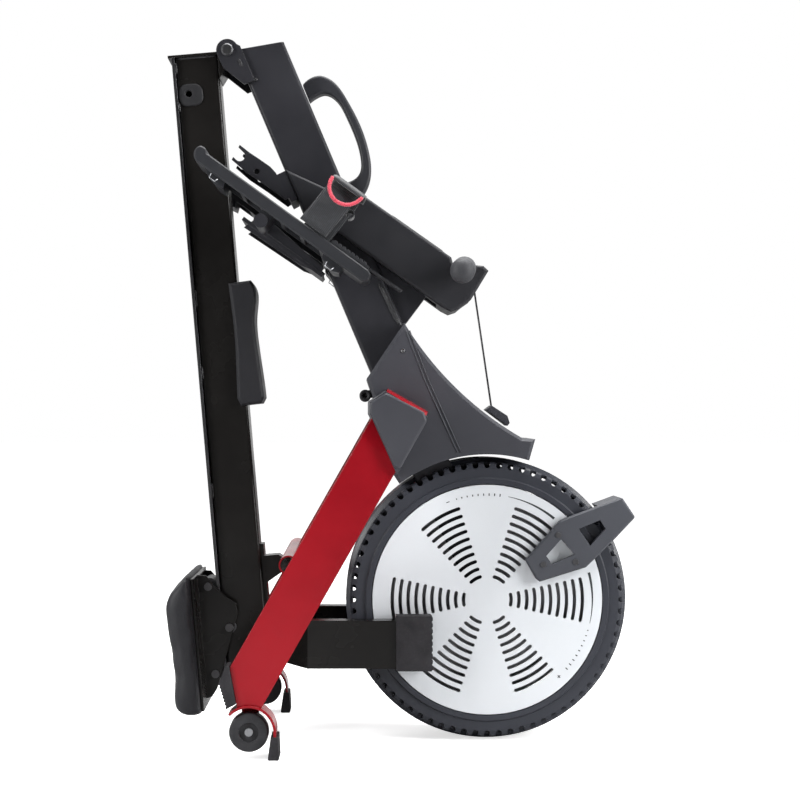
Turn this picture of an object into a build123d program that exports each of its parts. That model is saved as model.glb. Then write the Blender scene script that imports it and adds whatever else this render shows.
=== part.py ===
"""Folding rowing machine in its stored position, standing on two fender tips and its flywheel cover.

Millimetres. +X points from the hanging seat rail towards the flywheel, +Z is up, and -Y is the
user's right-hand side, where the resistance lever is. The origin is on the floor, below the
middle of the machine.
"""
from build123d import *
from math import atan2, cos, degrees, hypot, radians, sin
import os

os.makedirs("parts", exist_ok=True)

# ---------------------------------------------------------------- driving dimensions
HINGE_X = -283.0          # fold axis between the seat rail and the spine
HINGE_Z = 1116.5
RAIL_LEAN = 4.9           # degrees from upright, stored
SPINE_LEAN = 22.9
LEG_LEAN = 29.6
PEDAL_TILT = -35.9        # foot plates, degrees above level
UNFOLD_ANGLE = 175.0      # travel of the fold hinge

RAIL_FACE = -17.0         # rail faces, measured from the fold axis across the rail
RAIL_BACK = -87.0
TRACK_BACK = -92.0
RAIL_WIDTH = 64.0
RAIL_LENGTH = 1030.0
TRACK_WIDTH = 80.0
RAIL_WALL = 3.0

SPINE_FACE = 11.0         # spine faces, measured from the fold axis across the spine
SPINE_BACK = 90.0
SPINE_WIDTH = 76.0
SPINE_WALL = 3.0
PLATE_GAUGE = 6.0         # hinge plates welded to the spine's sides
PLATE_REACH = SPINE_FACE + 11
PIN_RADIUS = 6.0
POST_HALF_WIDTH = 28.0    # welded post that carries the console arm
POST_WALL = 4.0
POST_OUTLINE = [(-54, 781.5), (-5.5, 669.3), (9.4, 674.5), (45, 722), (48, 760), (-8, 800)]
POST_CAVITY = [(-38, 769), (-20, 722), (3, 688), (9, 686), (38, 724), (41, 753), (-9, 788)]

ARCH_X = -1.4             # middle of the leg arch's crossbar
ARCH_Z = 530.0
ARCH_HALF_WIDTH = 240.0
ARCH_TUBE = 38.0          # tube size in the plane of the arch
ARCH_DEPTH = 72.0         # tube size across that plane
ARCH_BEND = 90.0
ARCH_WALL = 2.5
ARCH_LEG = 560.0          # from the crossbar's middle to beyond the cut foot

WHEEL_X = -236.0
WHEEL_Z = 41.0
WHEEL_RADIUS = 30.0
FENDER_RADIUS = 42.0
FENDER_GAUGE = 4.0

FLYWHEEL_X = 137.0
FLYWHEEL_Z = 227.0
COVER_RADIUS = 227.0      # widest band, which touches the floor
RIM_RADIUS = 220.0
DISC_RADIUS = 184.0
NOTCH_COUNT = 72
AXLE_RADIUS = 8.0

BAR_X = 101.8             # handlebar in its cradle
BAR_Z = 760.6
BAR_RADIUS = 12.7
GRIP_RADIUS = 19.0
BAR_HALF_LENGTH = 268.0
BAR_BEND = 60.0           # the bar bends back outside its cradle, down to these tips
BAR_TIP_X = 86.7
BAR_TIP_Z = 739.1

STRAP_TOP_X = 115.8       # pull strap, from the handlebar's right side to its guide
STRAP_TOP_Z = 762.0
STRAP_FOOT_X = 150.2
STRAP_FOOT_Z = 527.0
STRAP_THICKNESS = 1.6
STRAP_HALF_WIDTH = 12.5
STRAP_LEAN = degrees(atan2(STRAP_FOOT_X - STRAP_TOP_X, STRAP_TOP_Z - STRAP_FOOT_Z))
STRAP_LENGTH = hypot(STRAP_FOOT_X - STRAP_TOP_X, STRAP_TOP_Z - STRAP_FOOT_Z)

BRACKET_INNER = 52.0      # plates that carry the flywheel axle
BRACKET_GAUGE = 5.0
BRACKET_OUTLINE = [
    (FLYWHEEL_X - 16, FLYWHEEL_Z - 12), (FLYWHEEL_X + 16, FLYWHEEL_Z - 12),
    (FLYWHEEL_X + 16, FLYWHEEL_Z + 14), (62, 494.0), (-24, 543), (-31, 531),
]

FIT = 0.05                # radial clearance of a running fit
GAP = 0.5                 # clearance between pieces that only pass each other


# ---------------------------------------------------------------- shared planes and helpers
def side_plane(x, z, lean=0.0, out=0.0):
    """Upright plane seen from the right-hand side, `out` from the middle towards the viewer."""
    turn = radians(lean)
    return Plane(origin=(x, -out, z), x_dir=(cos(turn), 0, sin(turn)), z_dir=(0, -1, 0))


def beam_plane(lean, across, along=0.0):
    """Cross-section plane of a beam that hangs from the fold axis at `lean` degrees."""
    turn = radians(lean)
    x = HINGE_X + across * cos(turn) + along * sin(turn)
    z = HINGE_Z + across * sin(turn) - along * cos(turn)
    return Plane(origin=(x, 0, z), x_dir=(cos(turn), 0, sin(turn)), z_dir=(sin(turn), 0, -cos(turn)))


def level_plane(x, y, z):
    return Plane(origin=(x, y, z), x_dir=(1, 0, 0), z_dir=(0, 0, 1))


def rail_side(out=0.0):
    """Rail coordinates: x across the rail from the fold axis, y up along it."""
    return side_plane(HINGE_X, HINGE_Z, RAIL_LEAN, out)


def spine_side(out=0.0):
    return side_plane(HINGE_X, HINGE_Z, SPINE_LEAN, out)


def rail_point(across, along):
    """World x and z of a point given in rail coordinates."""
    turn = radians(RAIL_LEAN)
    x = HINGE_X + across * cos(turn) + along * sin(turn)
    z = HINGE_Z + across * sin(turn) - along * cos(turn)
    return x, z


def polar(radius, angle):
    return radius * cos(radians(angle)), radius * sin(radians(angle))


LEG_TURN = radians(LEG_LEAN)
ARCH_PLANE = Plane(
    origin=(ARCH_X, 0, ARCH_Z), x_dir=(0, 1, 0), z_dir=(cos(LEG_TURN), 0, -sin(LEG_TURN))
)
ARCH_TOP_PLANE = Plane(
    origin=(ARCH_X + ARCH_TUBE / 2 * sin(LEG_TURN), 0, ARCH_Z + ARCH_TUBE / 2 * cos(LEG_TURN)),
    z_dir=(sin(LEG_TURN), 0, cos(LEG_TURN)),
)
UNFOLDED_FACE = 180 + RAIL_LEAN - UNFOLD_ANGLE      # level angle of the rail's end plate in use
FACE_TURN = radians(UNFOLDED_FACE)
SPINE_END_PLANE = Plane(
    origin=(HINGE_X + sin(FACE_TURN), 0, HINGE_Z - cos(FACE_TURN)),
    z_dir=(-sin(FACE_TURN), 0, cos(FACE_TURN)),
)

# ================================================================ FRONT FRAME
# ---------------------------------------------------------------- spine beam
SPINE_DEPTH = SPINE_BACK - SPINE_FACE
SPINE_MIDDLE = (SPINE_BACK + SPINE_FACE) / 2
with BuildPart() as spine_beam:
    with BuildSketch(beam_plane(SPINE_LEAN, SPINE_MIDDLE, -40)):
        RectangleRounded(SPINE_DEPTH, SPINE_WIDTH, 6)
        RectangleRounded(
            SPINE_DEPTH - 2 * SPINE_WALL, SPINE_WIDTH - 2 * SPINE_WALL, 3, mode=Mode.SUBTRACT
        )
    extrude(amount=800)
    split(bisect_by=SPINE_END_PLANE, keep=Keep.BOTTOM)
    split(bisect_by=ARCH_TOP_PLANE, keep=Keep.TOP)
    with BuildSketch(spine_side()):
        Circle(17)
    extrude(amount=SPINE_WIDTH, both=True, mode=Mode.SUBTRACT)
    with BuildSketch(spine_side()):
        Polygon(
            (SPINE_FACE + 3, -30), (SPINE_BACK, -25), (SPINE_BACK, -20), (SPINE_FACE + 8, -3),
            (SPINE_FACE + 8, -12), (SPINE_FACE + 3, -20), align=None,
        )
    extrude(amount=SPINE_WIDTH / 2 - SPINE_WALL, both=True)
    split(bisect_by=SPINE_END_PLANE, keep=Keep.BOTTOM)
    for out in (SPINE_WIDTH / 2, -SPINE_WIDTH / 2 - PLATE_GAUGE):
        with BuildSketch(spine_side(out)):
            Circle(18)
            Polygon(
                (-17.9, -2), (-17, -24), (4, -62), (PLATE_REACH, -62), (PLATE_REACH, -2), (6, 17),
                align=None,
            )
            Circle(PIN_RADIUS, mode=Mode.SUBTRACT)
        extrude(amount=PLATE_GAUGE)
    with BuildSketch(Plane.XZ):
        Polygon(*POST_OUTLINE, align=None)
    extrude(amount=POST_HALF_WIDTH, both=True)
    with BuildSketch(Plane.XZ):
        Polygon(*POST_CAVITY, align=None)
    extrude(amount=POST_HALF_WIDTH - POST_WALL, both=True, mode=Mode.SUBTRACT)
    with BuildSketch(beam_plane(SPINE_LEAN, SPINE_MIDDLE, 200)):
        RectangleRounded(SPINE_DEPTH - 2 * SPINE_WALL, SPINE_WIDTH - 2 * SPINE_WALL, 3)
    extrude(amount=300, mode=Mode.SUBTRACT)
spine_beam.part.label = "spine_beam"
export_step(spine_beam.part, "parts/spine_beam.step")

# ---------------------------------------------------------------- hinge pin
PIN_HALF = SPINE_WIDTH / 2 + PLATE_GAUGE + 0.2
with BuildPart() as hinge_pin:
    with BuildSketch(side_plane(HINGE_X, HINGE_Z)):
        Circle(PIN_RADIUS)
    extrude(amount=PIN_HALF, both=True)
    with BuildSketch(side_plane(HINGE_X, HINGE_Z, 0, PIN_HALF)):
        Circle(10)
    extrude(amount=6)
    head_rim = hinge_pin.edges().filter_by(GeomType.CIRCLE).sort_by(Axis.Y)[0]
    chamfer(head_rim, length=2)
    with BuildSketch(side_plane(HINGE_X, HINGE_Z, 0, -PIN_HALF)):
        RegularPolygon(10, 6)
    extrude(amount=-6)
hinge_pin.part.label = "hinge_pin"
export_step(hinge_pin.part, "parts/hinge_pin.step")

# ---------------------------------------------------------------- leg arch
FOOT_CUT_TURN = radians(10.1)


def foot_cut_plane(inset):
    return Plane(
        origin=(-264.6 + inset, 0, 140.0), z_dir=(cos(FOOT_CUT_TURN), 0, sin(FOOT_CUT_TURN))
    )


def arch_outline(half_width, top, bend):
    """Closed outline of the arch: two legs, two bends and a level top."""
    Line((-half_width, -ARCH_LEG), (-half_width, top - bend))
    RadiusArc((-half_width, top - bend), (-half_width + bend, top), bend)
    Line((-half_width + bend, top), (half_width - bend, top))
    RadiusArc((half_width - bend, top), (half_width, top - bend), bend)
    Line((half_width, top - bend), (half_width, -ARCH_LEG))
    Line((half_width, -ARCH_LEG), (-half_width, -ARCH_LEG))


def arch_solid(inset):
    """The bent tube's outside, or its cavity when inset by the wall."""
    inner = ARCH_TUBE - inset
    with BuildPart() as arch:
        with BuildSketch(ARCH_PLANE):
            with BuildLine():
                arch_outline(ARCH_HALF_WIDTH - inset, ARCH_TUBE / 2 - inset, ARCH_BEND - inset)
            make_face()
            with BuildLine():
                arch_outline(ARCH_HALF_WIDTH - inner, ARCH_TUBE / 2 - inner, ARCH_BEND - inner)
            make_face(mode=Mode.SUBTRACT)
        extrude(amount=ARCH_DEPTH / 2 - inset, both=True)
        split(bisect_by=foot_cut_plane(inset), keep=Keep.TOP)
        with BuildSketch(side_plane(WHEEL_X, WHEEL_Z)):
            Circle(FENDER_RADIUS + inset)
        extrude(amount=ARCH_HALF_WIDTH + 20, both=True, mode=Mode.SUBTRACT)
        split(bisect_by=Plane(origin=(0, 0, WHEEL_Z + 31 + inset), z_dir=(0, 0, 1)), keep=Keep.TOP)
    return arch.part


arch_outside = arch_solid(0)
arch_cavity = arch_solid(ARCH_WALL)
with BuildPart() as leg_arch:
    add(arch_outside)
    add(arch_cavity, mode=Mode.SUBTRACT)
leg_arch.part.label = "leg_arch"
export_step(leg_arch.part, "parts/leg_arch.step")

# ---------------------------------------------------------------- leg crossbar
CROSSBAR_X = -177.0
CROSSBAR_Z = 292.0
CROSSBAR_RADIUS = 15.0
LEG_INNER = ARCH_HALF_WIDTH - ARCH_TUBE
with BuildPart() as leg_crossbar:
    with BuildSketch(side_plane(CROSSBAR_X, CROSSBAR_Z)):
        Circle(CROSSBAR_RADIUS)
        Circle(CROSSBAR_RADIUS - 2.5, mode=Mode.SUBTRACT)
    extrude(amount=LEG_INNER - 0.1, both=True)
leg_crossbar.part.label = "leg_crossbar"
export_step(leg_crossbar.part, "parts/leg_crossbar.step")

# ---------------------------------------------------------------- wheel fenders
FENDER_INNER = 194.0
FENDER_OUTER = 244.0
FENDER_CORE = FENDER_RADIUS - FENDER_GAUGE
with BuildPart() as wheel_fenders:
    with BuildSketch(side_plane(WHEEL_X, WHEEL_Z, 0, FENDER_INNER)):
        Circle(FENDER_RADIUS - 0.1)
        Polygon((0, 0), (-80, 74), (-80, -80), (80, -80), (80, 0), align=None, mode=Mode.SUBTRACT)
        with Locations((FENDER_RADIUS - 0.1 - FENDER_GAUGE / 2, -16)):
            Rectangle(FENDER_GAUGE, 34)
        Circle(FENDER_CORE, mode=Mode.SUBTRACT)
    extrude(amount=FENDER_OUTER - FENDER_INNER)
    with BuildSketch(side_plane(WHEEL_X, WHEEL_Z, 0, FENDER_INNER + 6)):
        Polygon((-13, 39), (15, 39), (11, -4), (0, -11), (-11, -4), align=None)
    extrude(amount=5)
    with BuildSketch(side_plane(WHEEL_X, WHEEL_Z, 0, FENDER_INNER)):
        Circle(4 + FIT)
    extrude(amount=20, mode=Mode.SUBTRACT)
    mirror(about=Plane.XZ)
wheel_fenders.part.label = "wheel_fenders"
export_step(wheel_fenders.part, "parts/wheel_fenders.step")

# ---------------------------------------------------------------- rubber tips on the fenders
TIP_HEIGHT = 35.0
TIP_MIDDLE = FENDER_RADIUS - 0.1 - FENDER_GAUGE / 2
with BuildPart() as fender_tips:
    with BuildSketch(side_plane(WHEEL_X + TIP_MIDDLE, 0, 0, FENDER_INNER - 3)):
        Polygon(
            (-6, TIP_HEIGHT), (5, TIP_HEIGHT), (6.5, 2), (5, 0), (-9, 0), (-10.5, 2), align=None,
        )
    extrude(amount=FENDER_OUTER - FENDER_INNER + 6)
    with BuildSketch(side_plane(WHEEL_X + TIP_MIDDLE, WHEEL_Z - 16, 0, FENDER_INNER)):
        Rectangle(FENDER_GAUGE, 34)
    extrude(amount=FENDER_OUTER - FENDER_INNER, mode=Mode.SUBTRACT)
    mirror(about=Plane.XZ)
fender_tips.part.label = "fender_tips"
export_step(fender_tips.part, "parts/fender_tips.step")

# ---------------------------------------------------------------- serrated rubber front feet
FOOT_TOOTH_COUNT = 8
with BuildPart() as front_feet:
    with BuildSketch(side_plane(0, 0, 0, FENDER_INNER + 2)):
        tooth_start = Vector(-282.3, 118.2)
        tooth_end = Vector(-269.8, 77.2)
        tooth_step = (tooth_end - tooth_start) * (1 / FOOT_TOOTH_COUNT)
        foot_outline = [(-255.2, 85.0), (-265.4, 142.0), (-270.4, 142.6)]
        for tooth in range(FOOT_TOOTH_COUNT):
            valley = tooth_start + tooth_step * tooth
            crest = tooth_start + tooth_step * (tooth + 0.6)
            foot_outline.append((valley.X + 1.6, valley.Y))
            foot_outline.append((crest.X - 0.4, crest.Y))
        foot_outline.append((tooth_end.X, tooth_end.Y))
        Polygon(*foot_outline, align=None)
        with Locations((WHEEL_X, WHEEL_Z)):
            Circle(FENDER_RADIUS + GAP, mode=Mode.SUBTRACT)
    extrude(amount=FENDER_OUTER - FENDER_INNER - 2)
    mirror(about=Plane.XZ)
front_feet.part.label = "front_feet"
export_step(front_feet.part, "parts/front_feet.step")

# ---------------------------------------------------------------- transport wheels and bolts
WHEEL_WIDTH = 24.0
WHEEL_INNER = 213.0
for side, sign in (("right", 1), ("left", -1)):
    with BuildPart() as transport_wheel:
        with BuildSketch(side_plane(WHEEL_X, WHEEL_Z, 0, sign * WHEEL_INNER)):
            Circle(WHEEL_RADIUS)
        extrude(amount=sign * WHEEL_WIDTH)
        tread_edges = transport_wheel.edges().filter_by(GeomType.CIRCLE)
        fillet(tread_edges, radius=3)
        with BuildSketch(side_plane(WHEEL_X, WHEEL_Z, 0, sign * (WHEEL_INNER + WHEEL_WIDTH))):
            Circle(15)
        extrude(amount=-sign * 5, mode=Mode.SUBTRACT)
        with BuildSketch(side_plane(WHEEL_X, WHEEL_Z, 0, sign * (WHEEL_INNER - 1))):
            Circle(4 + FIT)
        extrude(amount=sign * (WHEEL_WIDTH + 2), mode=Mode.SUBTRACT)
    transport_wheel.part.label = f"transport_wheel_{side}"
    export_step(transport_wheel.part, f"parts/transport_wheel_{side}.step")

with BuildPart() as wheel_bolts:
    with BuildSketch(side_plane(WHEEL_X, WHEEL_Z, 0, FENDER_INNER + 1)):
        Circle(4)
    extrude(amount=WHEEL_INNER + WHEEL_WIDTH - 4 - FENDER_INNER)
    with BuildSketch(side_plane(WHEEL_X, WHEEL_Z, 0, WHEEL_INNER + WHEEL_WIDTH - 4)):
        Circle(6.2)
    extrude(amount=3.4)
    with BuildSketch(side_plane(WHEEL_X, WHEEL_Z, 0, FENDER_INNER + 1)):
        RegularPolygon(7, 6)
    extrude(amount=4.5)
    mirror(about=Plane.XZ)
wheel_bolts.part.label = "wheel_bolts"
export_step(wheel_bolts.part, "parts/wheel_bolts.step")

# ---------------------------------------------------------------- console arm housing
HOUSING_HALF_WIDTH = 55.0
HOUSING_WALL = 3.0
ARM_CORNERS = [
    (-189, 922), (-122, 891), (-59, 877.6), (81, 778.8), (84, 768), (122, 766), (133, 765),
    (141.5, 757), (113, 710), (103, 703), (92, 694), (80, 690), (68, 696), (-99.5, 816),
    (-158, 852),
]
ARM_DISPLAY_MIDDLE = (26.0, 817.6)
ARM_TILT = -35.2
ARM_TURN = radians(ARM_TILT)


def display_plane(depth=0.0):
    """Plane of the console face, `depth` below it; x runs along the arm and y across it."""
    x = ARM_DISPLAY_MIDDLE[0] + depth * sin(ARM_TURN)
    z = ARM_DISPLAY_MIDDLE[1] - depth * cos(ARM_TURN)
    return Plane(
        origin=(x, 0, z), x_dir=(cos(ARM_TURN), 0, sin(ARM_TURN)),
        z_dir=(-sin(ARM_TURN), 0, cos(ARM_TURN)),
    )


BEZEL_LENGTH = 104.0
BEZEL_WIDTH = 88.0
BEZEL_DEPTH = 5.0

CAVITY_CORNERS = [
    (-184, 916), (-122, 887), (-60, 873.6), (66, 784.6), (74, 704), (68, 700), (-99.5, 820),
    (-158, 858),
]
SOCKET_RADIUS = BAR_RADIUS + 0.4
STRAP_SLOT_HALF = 20.0
for side, sign in (("right", 1), ("left", -1)):
    with BuildPart() as console_housing:
        with BuildSketch(Plane.XZ):
            Polygon(*ARM_CORNERS, align=None)
        extrude(amount=sign * HOUSING_HALF_WIDTH)
        outer_face = console_housing.faces().sort_by(Axis.Y)[0 if sign > 0 else -1]
        fillet(outer_face.edges(), radius=5)
        with BuildSketch(Plane.XZ):
            Polygon(*CAVITY_CORNERS, align=None)
        extrude(amount=sign * (HOUSING_HALF_WIDTH - HOUSING_WALL), mode=Mode.SUBTRACT)
        with BuildSketch(spine_side()):
            with Locations((SPINE_MIDDLE, -400)):
                Rectangle(SPINE_DEPTH + 2 * GAP, 800)
        extrude(amount=sign * (SPINE_WIDTH / 2 + GAP), mode=Mode.SUBTRACT)
        with BuildSketch(Plane.XZ):
            Polygon((-60, 790), (0, 660), (60, 700), (52, 762), (-10, 803), align=None)
        extrude(amount=sign * (POST_HALF_WIDTH + GAP), mode=Mode.SUBTRACT)
        with BuildSketch(side_plane(BAR_X, BAR_Z, STRAP_LEAN)):
            Circle(SOCKET_RADIUS)
            with Locations((0, 30)):
                Rectangle(2 * SOCKET_RADIUS, 60)
        extrude(amount=HOUSING_HALF_WIDTH + 1, both=True, mode=Mode.SUBTRACT)
        with BuildSketch(Plane.XZ):
            Polygon((101, 790), (150, 790), (150, 680), (107, 680), align=None)
        extrude(amount=sign * STRAP_SLOT_HALF, mode=Mode.SUBTRACT)
        with BuildSketch(display_plane(BEZEL_DEPTH)):
            Rectangle(BEZEL_LENGTH + 2 * GAP, BEZEL_WIDTH + 2 * GAP)
        extrude(amount=30, mode=Mode.SUBTRACT)
    console_housing.part.label = f"console_housing_{side}"
    export_step(console_housing.part, f"parts/console_housing_{side}.step")

# ---------------------------------------------------------------- console face, screen, board, keys
SCREEN_SIZE = (58.0, 62.0)
KEY_PITCH = 24.0
KEY_RADIUS = 7.0
KEY_ALONG = 36.0
with BuildPart() as console_bezel:
    with BuildSketch(display_plane(BEZEL_DEPTH - 0.1)):
        RectangleRounded(BEZEL_LENGTH, BEZEL_WIDTH, 8)
    extrude(amount=BEZEL_DEPTH + 1.6)
    top_rim = console_bezel.faces().sort_by(Axis.Z)[-1].edges()
    chamfer(top_rim, length=1.2)
    with BuildSketch(display_plane(BEZEL_DEPTH)):
        with Locations((-14, 0)):
            RectangleRounded(SCREEN_SIZE[0] + 0.4, SCREEN_SIZE[1] + 0.4, 3)
        with Locations((KEY_ALONG, -KEY_PITCH / 2), (KEY_ALONG, KEY_PITCH / 2)):
            Circle(KEY_RADIUS + 0.4)
    extrude(amount=20, both=True, mode=Mode.SUBTRACT)
console_bezel.part.label = "console_bezel"
export_step(console_bezel.part, "parts/console_bezel.step")

with BuildPart() as console_screen:
    with BuildSketch(display_plane(BEZEL_DEPTH - 0.1)):
        with Locations((-14, 0)):
            RectangleRounded(*SCREEN_SIZE, 2.8)
    extrude(amount=BEZEL_DEPTH)
console_screen.part.label = "console_screen"
export_step(console_screen.part, "parts/console_screen.step")

with BuildPart() as console_board:
    with BuildSketch(display_plane(BEZEL_DEPTH + 4.2)):
        Rectangle(BEZEL_LENGTH - 12, BEZEL_WIDTH - 4)
    extrude(amount=1.6)
console_board.part.label = "console_board"
export_step(console_board.part, "parts/console_board.step")

for name, across in (("key_minus", -KEY_PITCH / 2), ("key_plus", KEY_PITCH / 2)):
    with BuildPart() as console_key:
        with BuildSketch(display_plane(1.0)):
            with Locations((KEY_ALONG, across)):
                Circle(KEY_RADIUS)
        extrude(amount=4.4)
        crown = console_key.faces().sort_by(Axis.Z)[-1].edges()
        fillet(crown, radius=1)
    console_key.part.label = name
    export_step(console_key.part, f"parts/{name}.step")

# ---------------------------------------------------------------- carrying handle on the spine
with BuildPart() as top_handle:
    with BuildSketch(Plane.XZ):
        with BuildLine():
            Spline(
                (-160.9, 1066.0), (-148, 1077), (-134, 1081), (-116, 1075), (-88.5, 1041.7),
                (-65.5, 997), (-52.4, 956), (-49.4, 914.5), (-58, 890), (-80, 871.0),
            )
            Line((-80, 871.0), (-94.5, 905.5))
            Spline(
                (-94.5, 905.5), (-83.6, 907), (-69, 918), (-65.5, 941.6), (-72, 972),
                (-90, 1015.5), (-110, 1045), (-124, 1051), (-137, 1047), (-149.5, 1038.2),
            )
            Line((-149.5, 1038.2), (-160.9, 1066.0))
        make_face()
    extrude(amount=15, both=True)
    with BuildSketch(spine_side()):
        with Locations((SPINE_MIDDLE, -400)):
            Rectangle(SPINE_DEPTH + 0.2, 800)
    extrude(amount=SPINE_WIDTH, both=True, mode=Mode.SUBTRACT)
    right_rims = top_handle.faces().sort_by(Axis.Y)[0].edges().filter_by(GeomType.BSPLINE)
    left_rims = top_handle.faces().sort_by(Axis.Y)[-1].edges().filter_by(GeomType.BSPLINE)
    fillet(right_rims + left_rims, radius=5)
    with BuildSketch(Plane.XZ):
        Polygon(*ARM_CORNERS, align=None)
        offset(amount=0.1, kind=Kind.INTERSECTION, mode=Mode.REPLACE)
    extrude(amount=HOUSING_HALF_WIDTH, both=True, mode=Mode.SUBTRACT)
top_handle.part.label = "top_handle"
export_step(top_handle.part, "parts/top_handle.step")

# ---------------------------------------------------------------- storage fork on the spine
FORK_INNER = 48.0
with BuildPart() as storage_fork:
    with BuildSketch(Plane.XZ.offset(FORK_INNER)):
        Polygon(
            (-275, 937), (-262, 961), (-245.7, 948.2), (-231, 938.5), (-212.4, 925.5),
            (-203.5, 915.8), (-197, 902.8), (-176, 880), (-188, 872), (-222, 897), (-252, 917),
            align=None,
        )
        with Locations((-262, 943)):
            Circle(8.5, mode=Mode.SUBTRACT)
        Polygon((-268, 937), (-256, 949), (-272, 965), (-284, 953), align=None, mode=Mode.SUBTRACT)
        with Locations((-234.3, 918)):
            Circle(4.5, mode=Mode.SUBTRACT)
    extrude(amount=4)
    mirror(about=Plane.XZ)
    with BuildSketch(Plane.XZ):
        Polygon((-203, 912), (-178, 868), (-160, 878), (-186, 920), align=None)
    extrude(amount=FORK_INNER + 4, both=True)
    with BuildSketch(spine_side()):
        with Locations((SPINE_MIDDLE, -400)):
            Rectangle(SPINE_DEPTH + 0.2, 800)
    extrude(amount=60, both=True, mode=Mode.SUBTRACT)
storage_fork.part.label = "storage_fork"
export_step(storage_fork.part, "parts/storage_fork.step")

# ---------------------------------------------------------------- pedal bracket with its stub axles
PEDAL_X = -187.0          # middle of each foot plate
PEDAL_Z = 832.0
PEDAL_INNER = 70.0
PEDAL_OUTER = 176.0
PIVOT_ALONG = -24.0       # pivot, in foot plate coordinates
PIVOT_BELOW = -26.0
PEDAL_AXLE_RADIUS = 7.0


def pedal_side(out=0.0):
    return side_plane(PEDAL_X, PEDAL_Z, PEDAL_TILT, out)


with BuildPart() as pedal_bracket:
    with BuildSketch(pedal_side()):
        Polygon((-62, -36), (97, -36), (97, -30), (-62, -30), align=None)
    extrude(amount=58, both=True)
    with BuildSketch(pedal_side(52)):
        Polygon((-52, -44), (60, -40), (92, -31), (92, -22), (-6, -12), (-42, -12), align=None)
    extrude(amount=5)
    with BuildSketch(pedal_side(52)):
        with Locations((PIVOT_ALONG, PIVOT_BELOW)):
            Circle(PEDAL_AXLE_RADIUS)
    extrude(amount=PEDAL_OUTER - 8 - 52)
    with BuildSketch(pedal_side(PEDAL_OUTER - 8)):
        with Locations((PIVOT_ALONG, PIVOT_BELOW)):
            Circle(11)
    extrude(amount=6)
    mirror(about=Plane.XZ)
    with BuildSketch(spine_side()):
        with Locations((SPINE_MIDDLE, -400)):
            Rectangle(SPINE_DEPTH + 0.2, 800)
    extrude(amount=70, both=True, mode=Mode.SUBTRACT)
pedal_bracket.part.label = "pedal_bracket"
export_step(pedal_bracket.part, "parts/pedal_bracket.step")

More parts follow.
